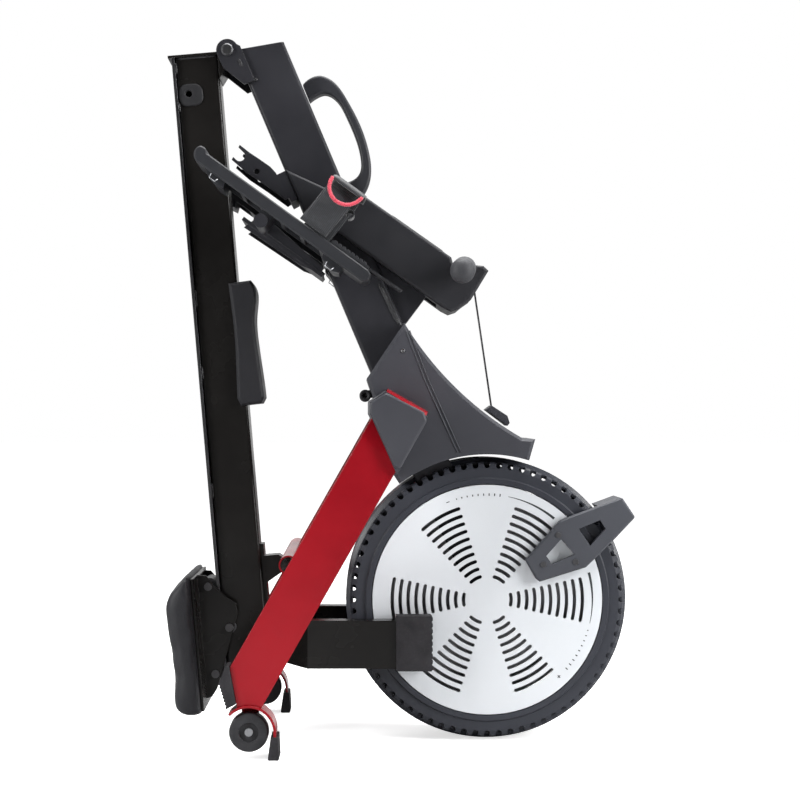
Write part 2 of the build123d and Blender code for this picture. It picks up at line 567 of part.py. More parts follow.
# ---------------------------------------------------------------- the two pedals
SLIDER_START = 84.0
SLIDER_END = 155.0
STRAP_FRONT = 24.0
STRAP_BACK = 80.0
STRAP_SHOULDER = 72.0
STRAP_RISE = 106.0
STRAP_GAUGE = 3.0
for side, sign in (("right", 1), ("left", -1)):
    width = PEDAL_OUTER - PEDAL_INNER
    with BuildPart() as foot_plate:
        with BuildSketch(pedal_side(sign * PEDAL_INNER)):
            with BuildLine():
                Spline(
                    (-152, 10), (-160, 15), (-168, 13), (-171, 4), (-166, -6), (-154, -10),
                )
                Line((-154, -10), (156, -10))
                ThreePointArc((156, -10), (166, 0), (156, 10))
                Line((156, 10), (-152, 10))
            make_face()
        extrude(amount=sign * width)
        outer_rim = foot_plate.faces().sort_by(Axis.Y)[0 if sign > 0 else -1].edges()
        chamfer(outer_rim, length=2)
        with BuildSketch(pedal_side(sign * (PEDAL_INNER + 6))):
            for rib in range(7):
                with Locations((-128 + 38 * rib, -6)):
                    Rectangle(30, 12)
        extrude(amount=sign * (width - 12), mode=Mode.SUBTRACT)
        with BuildSketch(pedal_side(sign * (PEDAL_INNER + 2))):
            with Locations((PIVOT_ALONG, PIVOT_BELOW)):
                Circle(10)
            with Locations((PIVOT_ALONG, PIVOT_BELOW / 2 - 1)):
                Rectangle(20, -PIVOT_BELOW - 2)
        extrude(amount=sign * 88)
        with BuildSketch(pedal_side(sign * (PEDAL_INNER + 4))):
            Polygon((-140, -9), (-104, -9), (-100, -20), (-112, -22), (-136, -15), align=None)
            Polygon((84, -9), (122, -9), (122, -20), (112, -24), (88, -18), align=None)
        extrude(amount=sign * (width - 10))
        with BuildSketch(pedal_side(sign * PEDAL_INNER)):
            with Locations((PIVOT_ALONG, PIVOT_BELOW)):
                Circle(PEDAL_AXLE_RADIUS + FIT)
        extrude(amount=sign * width, mode=Mode.SUBTRACT)
    foot_plate.part.label = f"foot_plate_{side}"
    export_step(foot_plate.part, f"parts/foot_plate_{side}.step")

    with BuildPart() as toe_slider:
        with BuildSketch(pedal_side(sign * (PEDAL_INNER + 8))):
            slider_outline = [(SLIDER_START, 10.1), (SLIDER_START, 16)]
            for ridge in range(8):
                start = SLIDER_START + 3 + 8 * ridge
                slider_outline += [(start, 16), (start + 1, 18.5)]
                slider_outline += [(start + 5, 18.5), (start + 6, 16)]
            slider_outline += [(SLIDER_END, 16), (SLIDER_END, 10.1)]
            Polygon(*slider_outline, align=None)
        extrude(amount=sign * (width - 16))
        with BuildSketch(pedal_side(sign * (PEDAL_INNER + 34))):
            Polygon((152, 12), (216, 15), (217, 18.5), (152, 15.8), align=None)
        extrude(amount=sign * 38)
    toe_slider.part.label = f"toe_slider_{side}"
    export_step(toe_slider.part, f"parts/toe_slider_{side}.step")

    strap_half = width / 2 + 2
    strap_inside = strap_half - STRAP_GAUGE
    with BuildPart() as pedal_strap:
        strap_middle = sign * (PEDAL_INNER + width / 2)
        across_origin = pedal_side(strap_middle)
        strap_plane = Plane(
            origin=across_origin.from_local_coords(Vector(STRAP_FRONT, 0, 0)),
            x_dir=(0, 1, 0), z_dir=across_origin.x_dir,
        )
        with BuildSketch(strap_plane):
            with BuildLine():
                Line((-strap_half, 10.5), (-strap_half, STRAP_SHOULDER))
                ThreePointArc(
                    (-strap_half, STRAP_SHOULDER), (0, STRAP_RISE), (strap_half, STRAP_SHOULDER)
                )
                Line((strap_half, STRAP_SHOULDER), (strap_half, 10.5))
                Line((strap_half, 10.5), (strap_inside, 10.5))
                Line((strap_inside, 10.5), (strap_inside, STRAP_SHOULDER))
                ThreePointArc(
                    (strap_inside, STRAP_SHOULDER), (0, STRAP_RISE - STRAP_GAUGE),
                    (-strap_inside, STRAP_SHOULDER),
                )
                Line((-strap_inside, STRAP_SHOULDER), (-strap_inside, 10.5))
                Line((-strap_inside, 10.5), (-strap_half, 10.5))
            make_face()
        extrude(amount=STRAP_BACK - STRAP_FRONT)
    pedal_strap.part.label = f"pedal_strap_{side}"
    export_step(pedal_strap.part, f"parts/pedal_strap_{side}.step")

# ---------------------------------------------------------------- shroud halves
BODY_HALF = 86.0
WING_HALF = 246.0
SHROUD_WALL = 3.0
SHROUD_ARC = 233.0
BODY_CURVE = [(4.0, 671.0), (92.1, 561.6), (193.4, 486.0)]
BODY_OUTLINE = [
    (193.4, 486.0), (214.3, 484.4), (204.2, 449.0), (137.0, 440.0), (4.5, 400.0),
    (-14.0, 428.0), (-52.0, 527.0), (-46.0, 551.0), (-56.3, 581.5), (4.0, 671.0),
]
WING_ROOT = [(-54.0, 545.0), (-27.0, 563.0), (40.0, 523.0), (-9.0, 427.0), (-54.0, 525.0)]
WING_TIP = [(-51.9, 542.7), (-27.7, 559.3), (35.9, 520.0), (-11.0, 432.2), (-51.9, 525.0)]


def shroud_solid(sign, inset):
    """Outside of one shroud half, or its cavity when inset by the wall."""
    with BuildPart() as half:
        with BuildSketch(Plane.XZ):
            with BuildLine():
                ThreePointArc(*BODY_CURVE)
                Polyline(*BODY_OUTLINE)
            make_face()
            if inset:
                offset(amount=-inset, kind=Kind.INTERSECTION, mode=Mode.REPLACE)
        extrude(amount=sign * (BODY_HALF - inset))
        if not inset:
            body_rim = half.faces().sort_by(Axis.Y)[0 if sign > 0 else -1].edges()
            chamfer(body_rim, length=5)
    with BuildPart() as wing:
        with BuildSketch(Plane.XZ.offset(sign * 60)):
            Polygon(*WING_ROOT, align=None)
            if inset:
                offset(amount=-inset, kind=Kind.INTERSECTION, mode=Mode.REPLACE)
        with BuildSketch(Plane.XZ.offset(sign * (WING_HALF - inset))):
            Polygon(*WING_TIP, align=None)
            if inset:
                offset(amount=-inset, kind=Kind.INTERSECTION, mode=Mode.REPLACE)
        loft(ruled=True)
    with BuildPart() as whole:
        add(half.part)
        add(wing.part)
        with BuildSketch(side_plane(FLYWHEEL_X, FLYWHEEL_Z)):
            Circle(SHROUD_ARC + inset)
        extrude(amount=300, both=True, mode=Mode.SUBTRACT)
    return whole.part


with BuildPart() as arch_clearance:
    with BuildSketch(ARCH_PLANE):
        with BuildLine():
            arch_outline(ARCH_HALF_WIDTH + GAP, ARCH_TUBE / 2 + GAP, ARCH_BEND + GAP)
        make_face()
        with BuildLine():
            arch_outline(
                ARCH_HALF_WIDTH - ARCH_TUBE - GAP, -ARCH_TUBE / 2 - GAP, ARCH_BEND - ARCH_TUBE - GAP
            )
        make_face(mode=Mode.SUBTRACT)
    extrude(amount=ARCH_DEPTH / 2 + GAP, both=True)

GUIDE_X = 158.0
GUIDE_Z = 521.0
GUIDE_TILT = -37.0
GUIDE_HALF_WIDTH = 32.0
for side, sign in (("right", 1), ("left", -1)):
    shroud_outside = shroud_solid(sign, 0)
    shroud_cavity = shroud_solid(sign, SHROUD_WALL)
    with BuildPart() as shroud:
        add(shroud_outside)
        add(shroud_cavity, mode=Mode.SUBTRACT)
        with BuildSketch(spine_side()):
            with Locations((SPINE_MIDDLE, -400)):
                Rectangle(SPINE_DEPTH + 2 * GAP, 800)
        extrude(amount=SPINE_WIDTH / 2 + GAP, both=True, mode=Mode.SUBTRACT)
        with BuildSketch(Plane.XZ):
            Polygon((-60, 790), (-8, 660), (20, 660), (60, 700), align=None)
        extrude(amount=POST_HALF_WIDTH + GAP, both=True, mode=Mode.SUBTRACT)
        add(arch_clearance.part, mode=Mode.SUBTRACT)
        with BuildSketch(side_plane(STRAP_FOOT_X, STRAP_FOOT_Z, STRAP_LEAN)):
            Rectangle(8, 60)
        extrude(amount=STRAP_HALF_WIDTH + 3, both=True, mode=Mode.SUBTRACT)
        with BuildSketch(Plane.XZ.offset(sign * (BRACKET_INNER - GAP))):
            Polygon(*BRACKET_OUTLINE, align=None)
            offset(amount=GAP, kind=Kind.INTERSECTION, mode=Mode.REPLACE)
        extrude(amount=sign * (BRACKET_GAUGE + 2 * GAP), mode=Mode.SUBTRACT)
    shroud.part.label = f"shroud_{side}"
    export_step(shroud.part, f"parts/shroud_{side}.step")

# ---------------------------------------------------------------- raised covers over the leg tops
with BuildPart() as leg_covers:
    with BuildSketch(Plane.XZ.offset(WING_HALF + 0.1)) as cover_face:
        Polygon(
            (-52.5, 541.5), (-27.7, 557), (29.8, 527.5), (34.5, 514), (-10.5, 434), (-52.5, 529),
            align=None,
        )
        fillet(cover_face.vertices(), radius=7)
    extrude(amount=6)
    cover_rim = leg_covers.faces().sort_by(Axis.Y)[0].edges()
    fillet(cover_rim, radius=4)
    mirror(about=Plane.XZ)
leg_covers.part.label = "leg_covers"
export_step(leg_covers.part, "parts/leg_covers.step")

# ---------------------------------------------------------------- strap guide on the shroud
with BuildPart() as strap_guide:
    with BuildSketch(side_plane(GUIDE_X, GUIDE_Z, GUIDE_TILT)):
        Polygon((-22, -3), (-19, 8), (12, 10), (22, 3), (22, -3), align=None)
    extrude(amount=GUIDE_HALF_WIDTH, both=True)
    with BuildSketch(side_plane(STRAP_FOOT_X, STRAP_FOOT_Z, STRAP_LEAN)):
        Rectangle(5, 80)
    extrude(amount=STRAP_HALF_WIDTH + 2, both=True, mode=Mode.SUBTRACT)
strap_guide.part.label = "strap_guide"
export_step(strap_guide.part, "parts/strap_guide.step")

# ---------------------------------------------------------------- flywheel cover halves
COVER_PROFILE = [
    (DISC_RADIUS + 1, 81), (DISC_RADIUS + 2, 84), (194, 84), (196, 81), (211, 81), (217, 79),
    (RIM_RADIUS, 75), (RIM_RADIUS, 50), (COVER_RADIUS, 46), (COVER_RADIUS, 0.1),
    (COVER_RADIUS - 4, 0.1), (COVER_RADIUS - 4, 44), (RIM_RADIUS - 4, 48), (RIM_RADIUS - 4, 74),
    (211, 77), (DISC_RADIUS + 1, 77),
]
NOTCH_RADIUS = 4.8
NOTCH_BOTTOM = 215.4
NOTCH_REACH = 14.0
for side, sign in (("right", 1), ("left", -1)):
    with BuildPart() as flywheel_cover:
        cover_plane = Plane(
            origin=(FLYWHEEL_X, 0, FLYWHEEL_Z), x_dir=(1, 0, 0), z_dir=(0, 0, 1)
        )
        with BuildSketch(cover_plane):
            Polygon(*[(r, -sign * out) for r, out in COVER_PROFILE], align=None)
        revolve(axis=Axis((FLYWHEEL_X, 0, FLYWHEEL_Z), (0, 1, 0)), revolution_arc=360)
        with BuildSketch(side_plane(FLYWHEEL_X, FLYWHEEL_Z, 0, sign * 56)):
            with PolarLocations(NOTCH_BOTTOM, NOTCH_COUNT):
                Circle(NOTCH_RADIUS)
            with PolarLocations(NOTCH_BOTTOM + NOTCH_REACH / 2, NOTCH_COUNT):
                Rectangle(NOTCH_REACH, 2 * NOTCH_RADIUS)
        extrude(amount=sign * 36, mode=Mode.SUBTRACT)
        with BuildSketch(Plane.XZ.offset(sign * (BRACKET_INNER - 2))):
            Polygon((28, 400), (96, 400), (80, 480), (0, 480), align=None)
        extrude(amount=sign * (BRACKET_GAUGE + 4), mode=Mode.SUBTRACT)
        with BuildSketch(Plane.XZ):
            with Locations((100, 447)):
                Rectangle(60, 30)
        extrude(amount=sign * 24, mode=Mode.SUBTRACT)
    flywheel_cover.part.label = f"flywheel_cover_{side}"
    export_step(flywheel_cover.part, f"parts/flywheel_cover_{side}.step")

# ---------------------------------------------------------------- brackets that hold the axle
with BuildPart() as flywheel_brackets:
    with BuildSketch(Plane.XZ.offset(BRACKET_INNER)):
        Polygon(*BRACKET_OUTLINE, align=None)
        with Locations((FLYWHEEL_X, FLYWHEEL_Z)):
            Circle(AXLE_RADIUS, mode=Mode.SUBTRACT)
    extrude(amount=BRACKET_GAUGE)
    mirror(about=Plane.XZ)
    add(arch_outside, mode=Mode.SUBTRACT)
flywheel_brackets.part.label = "flywheel_brackets"
export_step(flywheel_brackets.part, "parts/flywheel_brackets.step")

# ---------------------------------------------------------------- axle
AXLE_HALF = 79.0
with BuildPart() as flywheel_axle:
    with BuildSketch(side_plane(FLYWHEEL_X, FLYWHEEL_Z)):
        Circle(AXLE_RADIUS)
    extrude(amount=AXLE_HALF, both=True)
flywheel_axle.part.label = "flywheel_axle"
export_step(flywheel_axle.part, "parts/flywheel_axle.step")

# ---------------------------------------------------------------- flywheel
FLYWHEEL_RADIUS = 165.0
with BuildPart() as flywheel:
    with BuildSketch(side_plane(FLYWHEEL_X, FLYWHEEL_Z)):
        Circle(FLYWHEEL_RADIUS)
    extrude(amount=10, both=True)
    with BuildSketch(side_plane(FLYWHEEL_X, FLYWHEEL_Z)):
        Circle(30)
    extrude(amount=22, both=True)
    with BuildSketch(side_plane(FLYWHEEL_X, FLYWHEEL_Z, 0, 4)):
        Circle(140)
        Circle(34, mode=Mode.SUBTRACT)
    extrude(amount=10, mode=Mode.SUBTRACT)
    with BuildSketch(side_plane(FLYWHEEL_X, FLYWHEEL_Z, 0, -4)):
        Circle(140)
        Circle(34, mode=Mode.SUBTRACT)
    extrude(amount=-10, mode=Mode.SUBTRACT)
    with BuildSketch(side_plane(FLYWHEEL_X, FLYWHEEL_Z)):
        Circle(AXLE_RADIUS + FIT)
    extrude(amount=30, both=True, mode=Mode.SUBTRACT)
flywheel.part.label = "flywheel"
export_step(flywheel.part, "parts/flywheel.step")

# ---------------------------------------------------------------- vented side discs
SLOT_GROUPS = 6
SLOT_ROWS = 10
SLOT_FIRST = 38.2
SLOT_STEP = 12.7
SLOT_WIDTH = 5.6
SLOT_HALF_SPAN = 12.5
DISC_GAUGE = 2.5


def slot_tip(radius, angle, way):
    """Outermost point of a slot's round end, on the slot's middle line."""
    x, y = polar(radius, angle)
    return (
        x - way * SLOT_WIDTH / 2 * sin(radians(angle)), y + way * SLOT_WIDTH / 2 * cos(radians(angle))
    )


with BuildPart() as vented_disc:
    with BuildSketch(Plane.XY):
        Circle(DISC_RADIUS)
    extrude(amount=DISC_GAUGE)
    with BuildSketch(Plane.XY) as slots:
        for group in range(SLOT_GROUPS):
            middle = 360 / SLOT_GROUPS * group
            for row in range(SLOT_ROWS):
                radius = SLOT_FIRST + SLOT_STEP * row
                half_width = SLOT_WIDTH / 2
                with BuildLine():
                    low = middle - SLOT_HALF_SPAN
                    high = middle + SLOT_HALF_SPAN
                    outer = radius + half_width
                    inner = radius - half_width
                    ThreePointArc(polar(outer, low), polar(outer, middle), polar(outer, high))
                    ThreePointArc(polar(outer, high), slot_tip(radius, high, 1), polar(inner, high))
                    ThreePointArc(polar(inner, high), polar(inner, middle), polar(inner, low))
                    ThreePointArc(polar(inner, low), slot_tip(radius, low, -1), polar(outer, low))
                make_face()
    extrude(amount=DISC_GAUGE, mode=Mode.SUBTRACT)

DISC_OUT = 81.5
HUB_RADIUS = 24.0
right_disc_place = side_plane(FLYWHEEL_X, FLYWHEEL_Z, 0, DISC_OUT).location
left_disc_place = side_plane(FLYWHEEL_X, FLYWHEEL_Z, 0, -DISC_OUT - DISC_GAUGE).location
with BuildPart() as dial_disc:
    add(vented_disc.part.moved(right_disc_place))
    with BuildSketch(side_plane(FLYWHEEL_X, FLYWHEEL_Z, 0, 60)):
        Circle(HUB_RADIUS)
    extrude(amount=DISC_OUT + DISC_GAUGE - 60)
    with BuildSketch(side_plane(FLYWHEEL_X, FLYWHEEL_Z, 0, 50)):
        Circle(AXLE_RADIUS + FIT)
    extrude(amount=AXLE_HALF + 0.6 - 50, mode=Mode.SUBTRACT)
dial_disc.part.label = "dial_disc"
export_step(dial_disc.part, "parts/dial_disc.step")

with BuildPart() as side_disc_left:
    add(vented_disc.part.moved(left_disc_place))
    with BuildSketch(side_plane(FLYWHEEL_X, FLYWHEEL_Z, 0, -60)):
        Circle(HUB_RADIUS)
    extrude(amount=-(DISC_OUT + DISC_GAUGE - 60))
    with BuildSketch(side_plane(FLYWHEEL_X, FLYWHEEL_Z, 0, -50)):
        Circle(AXLE_RADIUS)
    extrude(amount=-(AXLE_HALF - 50), mode=Mode.SUBTRACT)
side_disc_left.part.label = "side_disc_left"
export_step(side_disc_left.part, "parts/side_disc_left.step")

# ---------------------------------------------------------------- resistance lever
LEVER_OUTLINE = [
    (196.6, 291.2), (252.7, 354.7), (267.4, 360.7), (351.2, 391.6), (372.4, 359.9),
    (340.1, 325.6), (308.3, 293.9), (293.7, 280.0), (219.7, 256.9), (213.2, 262.2),
]
WINDOW_NEAR = [(230.2, 298.2), (254.1, 325.3), (275.2, 300.4), (239.5, 284.7)]
WINDOW_FAR = [(282.0, 341.3), (316.2, 355.6), (325.1, 341.3), (300.4, 314.2)]
LEVER_FACE = 86.5
LEVER_GAUGE = 12.0
WRAP_START = 232.0
with BuildPart() as resistance_lever:
    with BuildSketch(Plane.XZ.offset(LEVER_FACE)):
        Polygon(*LEVER_OUTLINE, align=None)
    extrude(amount=LEVER_GAUGE)
    with BuildSketch(Plane.XZ.offset(10)):
        Polygon(*LEVER_OUTLINE, align=None)
        with Locations((FLYWHEEL_X, FLYWHEEL_Z)):
            Circle(WRAP_START, mode=Mode.SUBTRACT)
    extrude(amount=LEVER_FACE + LEVER_GAUGE - 10)
    long_edges = resistance_lever.edges().filter_by(Axis.Y).group_by(SortBy.LENGTH)[-1]
    fillet(long_edges, radius=4)
    front_rim = resistance_lever.faces().sort_by(Axis.Y)[0].edges()
    chamfer(front_rim, length=2.5)
    with BuildSketch(Plane.XZ):
        Polygon(*WINDOW_NEAR, align=None)
        Polygon(*WINDOW_FAR, align=None)
    extrude(amount=120, mode=Mode.SUBTRACT)
resistance_lever.part.label = "resistance_lever"
export_step(resistance_lever.part, "parts/resistance_lever.step")

with BuildPart() as lever_screws:
    with BuildSketch(Plane.XZ.offset(DISC_OUT + DISC_GAUGE)):
        with Locations((225.6, 284.7), (249.5, 331.7), (277.3, 288.7)):
            Circle(4)
    extrude(amount=LEVER_FACE - DISC_OUT - DISC_GAUGE)
    with BuildSketch(Plane.XZ.offset(LEVER_FACE + LEVER_GAUGE)):
        with Locations((225.6, 284.7), (249.5, 331.7), (277.3, 288.7)):
            Circle(4.6)
    extrude(amount=1.5)
lever_screws.part.label = "lever_screws"
export_step(lever_screws.part, "parts/lever_screws.step")

# ---------------------------------------------------------------- magnet carrier and inner shafts
DRUM_X = 118.0
DRUM_Z = 493.0
DRUM_RADIUS = 20.0
DRUM_SHAFT_RADIUS = 5.0
MAGNET_MIDDLE = 214.0
MAGNET_SPAN = 26.0
with BuildPart() as magnet_carrier:
    with BuildSketch(side_plane(FLYWHEEL_X, FLYWHEEL_Z, 0, 24)):
        with BuildLine():
            low = MAGNET_MIDDLE - MAGNET_SPAN
            high = MAGNET_MIDDLE + MAGNET_SPAN
            ThreePointArc(polar(180, low), polar(180, MAGNET_MIDDLE), polar(180, high))
            Line(polar(180, high), polar(204, high))
            ThreePointArc(polar(204, high), polar(204, MAGNET_MIDDLE), polar(204, low))
            Line(polar(204, low), polar(180, low))
        make_face()
    extrude(amount=-48)
    with BuildSketch(side_plane(FLYWHEEL_X, FLYWHEEL_Z, 0, 26)):
        with Locations(polar(192, MAGNET_MIDDLE - MAGNET_SPAN)):
            Circle(5 + FIT)
    extrude(amount=-52, mode=Mode.SUBTRACT)
magnet_carrier.part.label = "magnet_carrier"
export_step(magnet_carrier.part, "parts/magnet_carrier.step")

with BuildPart() as inner_shafts:
    with BuildSketch(side_plane(DRUM_X, DRUM_Z)):
        Circle(DRUM_SHAFT_RADIUS)
    extrude(amount=BODY_HALF - 8, both=True)
    with BuildSketch(side_plane(FLYWHEEL_X, FLYWHEEL_Z, 0, BRACKET_INNER - 0.1)):
        with Locations(polar(192, MAGNET_MIDDLE - MAGNET_SPAN)):
            Circle(5)
    extrude(amount=-2 * (BRACKET_INNER - 0.1))
    with BuildSketch(side_plane(FLYWHEEL_X, FLYWHEEL_Z, 0, 30)):
        Polygon(
            polar(186, MAGNET_MIDDLE - MAGNET_SPAN), polar(200, MAGNET_MIDDLE - MAGNET_SPAN - 2),
            polar(206, 150), polar(196, 148), align=None,
        )
    extrude(amount=4)
inner_shafts.part.label = "inner_shafts"
export_step(inner_shafts.part, "parts/inner_shafts.step")

# ---------------------------------------------------------------- strap drum
with BuildPart() as strap_drum:
    with BuildSketch(side_plane(DRUM_X, DRUM_Z)):
        Circle(DRUM_RADIUS)
    extrude(amount=16, both=True)
    with BuildSketch(side_plane(DRUM_X, DRUM_Z, 0, 16), side_plane(DRUM_X, DRUM_Z, 0, -19)):
        Circle(DRUM_RADIUS + 6)
    extrude(amount=3)
    with BuildSketch(side_plane(DRUM_X, DRUM_Z)):
        Circle(DRUM_SHAFT_RADIUS + FIT)
    extrude(amount=30, both=True, mode=Mode.SUBTRACT)
strap_drum.part.label = "strap_drum"
export_step(strap_drum.part, "parts/strap_drum.step")

# ================================================================ HANDLEBAR
def bar_point(share, sign):
    """Point on a bent end of the handlebar's middle line, from the bend at 0 to the tip at 1."""
    x = BAR_X + share * (BAR_TIP_X - BAR_X)
    y = sign * (BAR_BEND + share * (BAR_HALF_LENGTH - BAR_BEND))
    z = BAR_Z + share * (BAR_TIP_Z - BAR_Z)
    return Vector(x, y, z)


TUBE_END = 0.9
FOAM_START = 0.06
BEND_RADIUS = 60.0
with BuildPart() as handlebar_tube:
    with BuildLine():
        FilletPolyline(
            bar_point(TUBE_END, -1), bar_point(0, -1), bar_point(0, 1), bar_point(TUBE_END, 1),
            radius=BEND_RADIUS,
        )
    tube_start = Plane(
        origin=bar_point(TUBE_END, -1), z_dir=bar_point(0, -1) - bar_point(TUBE_END, -1)
    )
    with BuildSketch(tube_start):
        Circle(BAR_RADIUS)
        Circle(BAR_RADIUS - 2, mode=Mode.SUBTRACT)
    sweep()
handlebar_tube.part.label = "handlebar_tube"
export_step(handlebar_tube.part, "parts/handlebar_tube.step")

foam_run = bar_point(1, -1) - bar_point(FOAM_START, -1)
with BuildPart() as handlebar_grips:
    with BuildSketch(Plane(origin=bar_point(FOAM_START, -1), z_dir=foam_run)):
        Circle(GRIP_RADIUS)
    extrude(amount=foam_run.length)
    tip_rim = handlebar_grips.faces().sort_by(Axis.Y)[0].edges()
    fillet(tip_rim, radius=GRIP_RADIUS - 2)
    with BuildSketch(Plane(origin=bar_point(FOAM_START, -1), z_dir=foam_run)):
        Circle(BAR_RADIUS)
    extrude(amount=(bar_point(TUBE_END, -1) - bar_point(FOAM_START, -1)).length, mode=Mode.SUBTRACT)
    mirror(about=Plane.XZ)
handlebar_grips.part.label = "handlebar_grips"
export_step(handlebar_grips.part, "parts/handlebar_grips.step")

with BuildPart() as pull_strap:
    strap_middle_x = (STRAP_TOP_X + STRAP_FOOT_X) / 2
    strap_middle_z = (STRAP_TOP_Z + STRAP_FOOT_Z) / 2
    with BuildSketch(side_plane(strap_middle_x, strap_middle_z, STRAP_LEAN)):
        Rectangle(STRAP_THICKNESS, STRAP_LENGTH)
    extrude(amount=STRAP_HALF_WIDTH, both=True)
pull_strap.part.label = "pull_strap"
export_step(pull_strap.part, "parts/pull_strap.step")

# ================================================================ RAIL
RAIL_DEPTH = RAIL_FACE - RAIL_BACK
RAIL_MIDDLE = (RAIL_FACE + RAIL_BACK) / 2
END_PLATE = 4.0
with BuildPart() as rail_tube:
    with BuildSketch(beam_plane(RAIL_LEAN, RAIL_MIDDLE, END_PLATE + 0.1)):
        RectangleRounded(RAIL_DEPTH, RAIL_WIDTH, 5)
        RectangleRounded(
            RAIL_DEPTH - 2 * RAIL_WALL, RAIL_WIDTH - 2 * RAIL_WALL, 2.5, mode=Mode.SUBTRACT
        )
    extrude(amount=RAIL_LENGTH - END_PLATE - 6)
    with BuildSketch(rail_side(RAIL_WIDTH / 2 - 5)):
        with Locations((-69, -64)):
            Circle(5.2)
    extrude(amount=10, mode=Mode.SUBTRACT)
rail_tube.part.label = "rail_tube"
export_step(rail_tube.part, "parts/rail_tube.step")

with BuildPart() as rail_track:
    with BuildSketch(beam_plane(RAIL_LEAN, (RAIL_BACK + TRACK_BACK) / 2, END_PLATE + 0.1)):
        Rectangle(RAIL_BACK - TRACK_BACK - 0.1, TRACK_WIDTH)
    extrude(amount=RAIL_LENGTH - END_PLATE - 6)
rail_track.part.label = "rail_track"
export_step(rail_track.part, "parts/rail_track.step")

KNUCKLE_RADIUS = 13.5
with BuildPart() as rail_hinge_end:
    with BuildSketch(rail_side()):
        Circle(KNUCKLE_RADIUS)
        Polygon(
            (0, KNUCKLE_RADIUS), (KNUCKLE_RADIUS, 0), (6, -14), (RAIL_FACE + 0.1, -44),
            (RAIL_FACE + 0.1, -END_PLATE + 0.1), (-10, -END_PLATE + 0.1), (-10, 9), align=None,
        )
    extrude(amount=SPINE_WIDTH / 2 - GAP, both=True)
    with BuildSketch(rail_side()):
        Polygon((-98, 0), (-5, 0), (-5, -END_PLATE), (-98, -END_PLATE), align=None)
    extrude(amount=SPINE_WIDTH / 2 - GAP, both=True)
    with BuildSketch(rail_side()):
        Circle(PIN_RADIUS + FIT)
    extrude(amount=SPINE_WIDTH, both=True, mode=Mode.SUBTRACT)
rail_hinge_end.part.label = "rail_hinge_end"
export_step(rail_hinge_end.part, "parts/rail_hinge_end.step")

with BuildPart() as rail_end_cap:
    with BuildSketch(beam_plane(RAIL_LEAN, (RAIL_FACE + TRACK_BACK) / 2, RAIL_LENGTH - 5.8)):
        RectangleRounded(RAIL_FACE - TRACK_BACK + 4, TRACK_WIDTH + 4, 8)
    extrude(amount=8)
    cap_rim = rail_end_cap.faces().sort_by(Axis.Z)[0].edges()
    fillet(cap_rim, radius=3)
rail_end_cap.part.label = "rail_end_cap"
export_step(rail_end_cap.part, "parts/rail_end_cap.step")

with BuildPart() as rail_plug:
    with BuildSketch(rail_side(RAIL_WIDTH / 2 + 0.1)):
        with Locations((-66, -66)):
            RectangleRounded(40, 36, 14)
        with Locations((-69, -64)):
            Circle(5.2, mode=Mode.SUBTRACT)
    extrude(amount=3)
    plug_rim = rail_plug.faces().sort_by(Axis.Y)[0].edges()
    chamfer(plug_rim, length=1.5)
rail_plug.part.label = "rail_plug"
export_step(rail_plug.part, "parts/rail_plug.step")

# ---------------------------------------------------------------- rail grip
GRIP_WRAP = 43.0
with BuildPart() as rail_grip:
    with BuildSketch(rail_side()):
        with BuildLine():
            Polyline((-31, -378), (6, -376))
            Spline((6, -376), (10.5, -384), (8, -430), (6.5, -470), (10, -530), (11.5, -568))
            Polyline((11.5, -568), (6, -577), (-27, -578), (-32, -566))
            Spline((-32, -566), (-30, -520), (-28, -470), (-29, -420), (-31, -378))
        make_face()
    extrude(amount=GRIP_WRAP, both=True)
    right_rim = rail_grip.faces().sort_by(Axis.Y)[0].edges()
    left_rim = rail_grip.faces().sort_by(Axis.Y)[-1].edges()
    chamfer(right_rim + left_rim, length=4)
    with BuildSketch(rail_side()):
        Polygon(
            (-60, -300), (RAIL_FACE + 0.1, -300), (RAIL_FACE + 0.1, -700), (-60, -700), align=None,
        )
    extrude(amount=RAIL_WIDTH / 2 + 0.1, both=True, mode=Mode.SUBTRACT)
rail_grip.part.label = "rail_grip"
export_step(rail_grip.part, "parts/rail_grip.step")

# ---------------------------------------------------------------- rest bracket against the crossbar
with BuildPart() as rest_bracket:
    with BuildSketch(rail_side()):
        Polygon(
            (RAIL_FACE + 0.1, -806), (-11, -806), (-11, -826), (12, -826), (24, -836),
            (24, -850), (-11, -870), (-11, -912), (RAIL_FACE + 0.1, -912), align=None,
        )
    extrude(amount=22, both=True)
    with BuildSketch(side_plane(CROSSBAR_X, CROSSBAR_Z)):
        Circle(CROSSBAR_RADIUS + 0.6)
    extrude(amount=30, both=True, mode=Mode.SUBTRACT)
rest_bracket.part.label = "rest_bracket"
export_step(rest_bracket.part, "parts/rest_bracket.step")

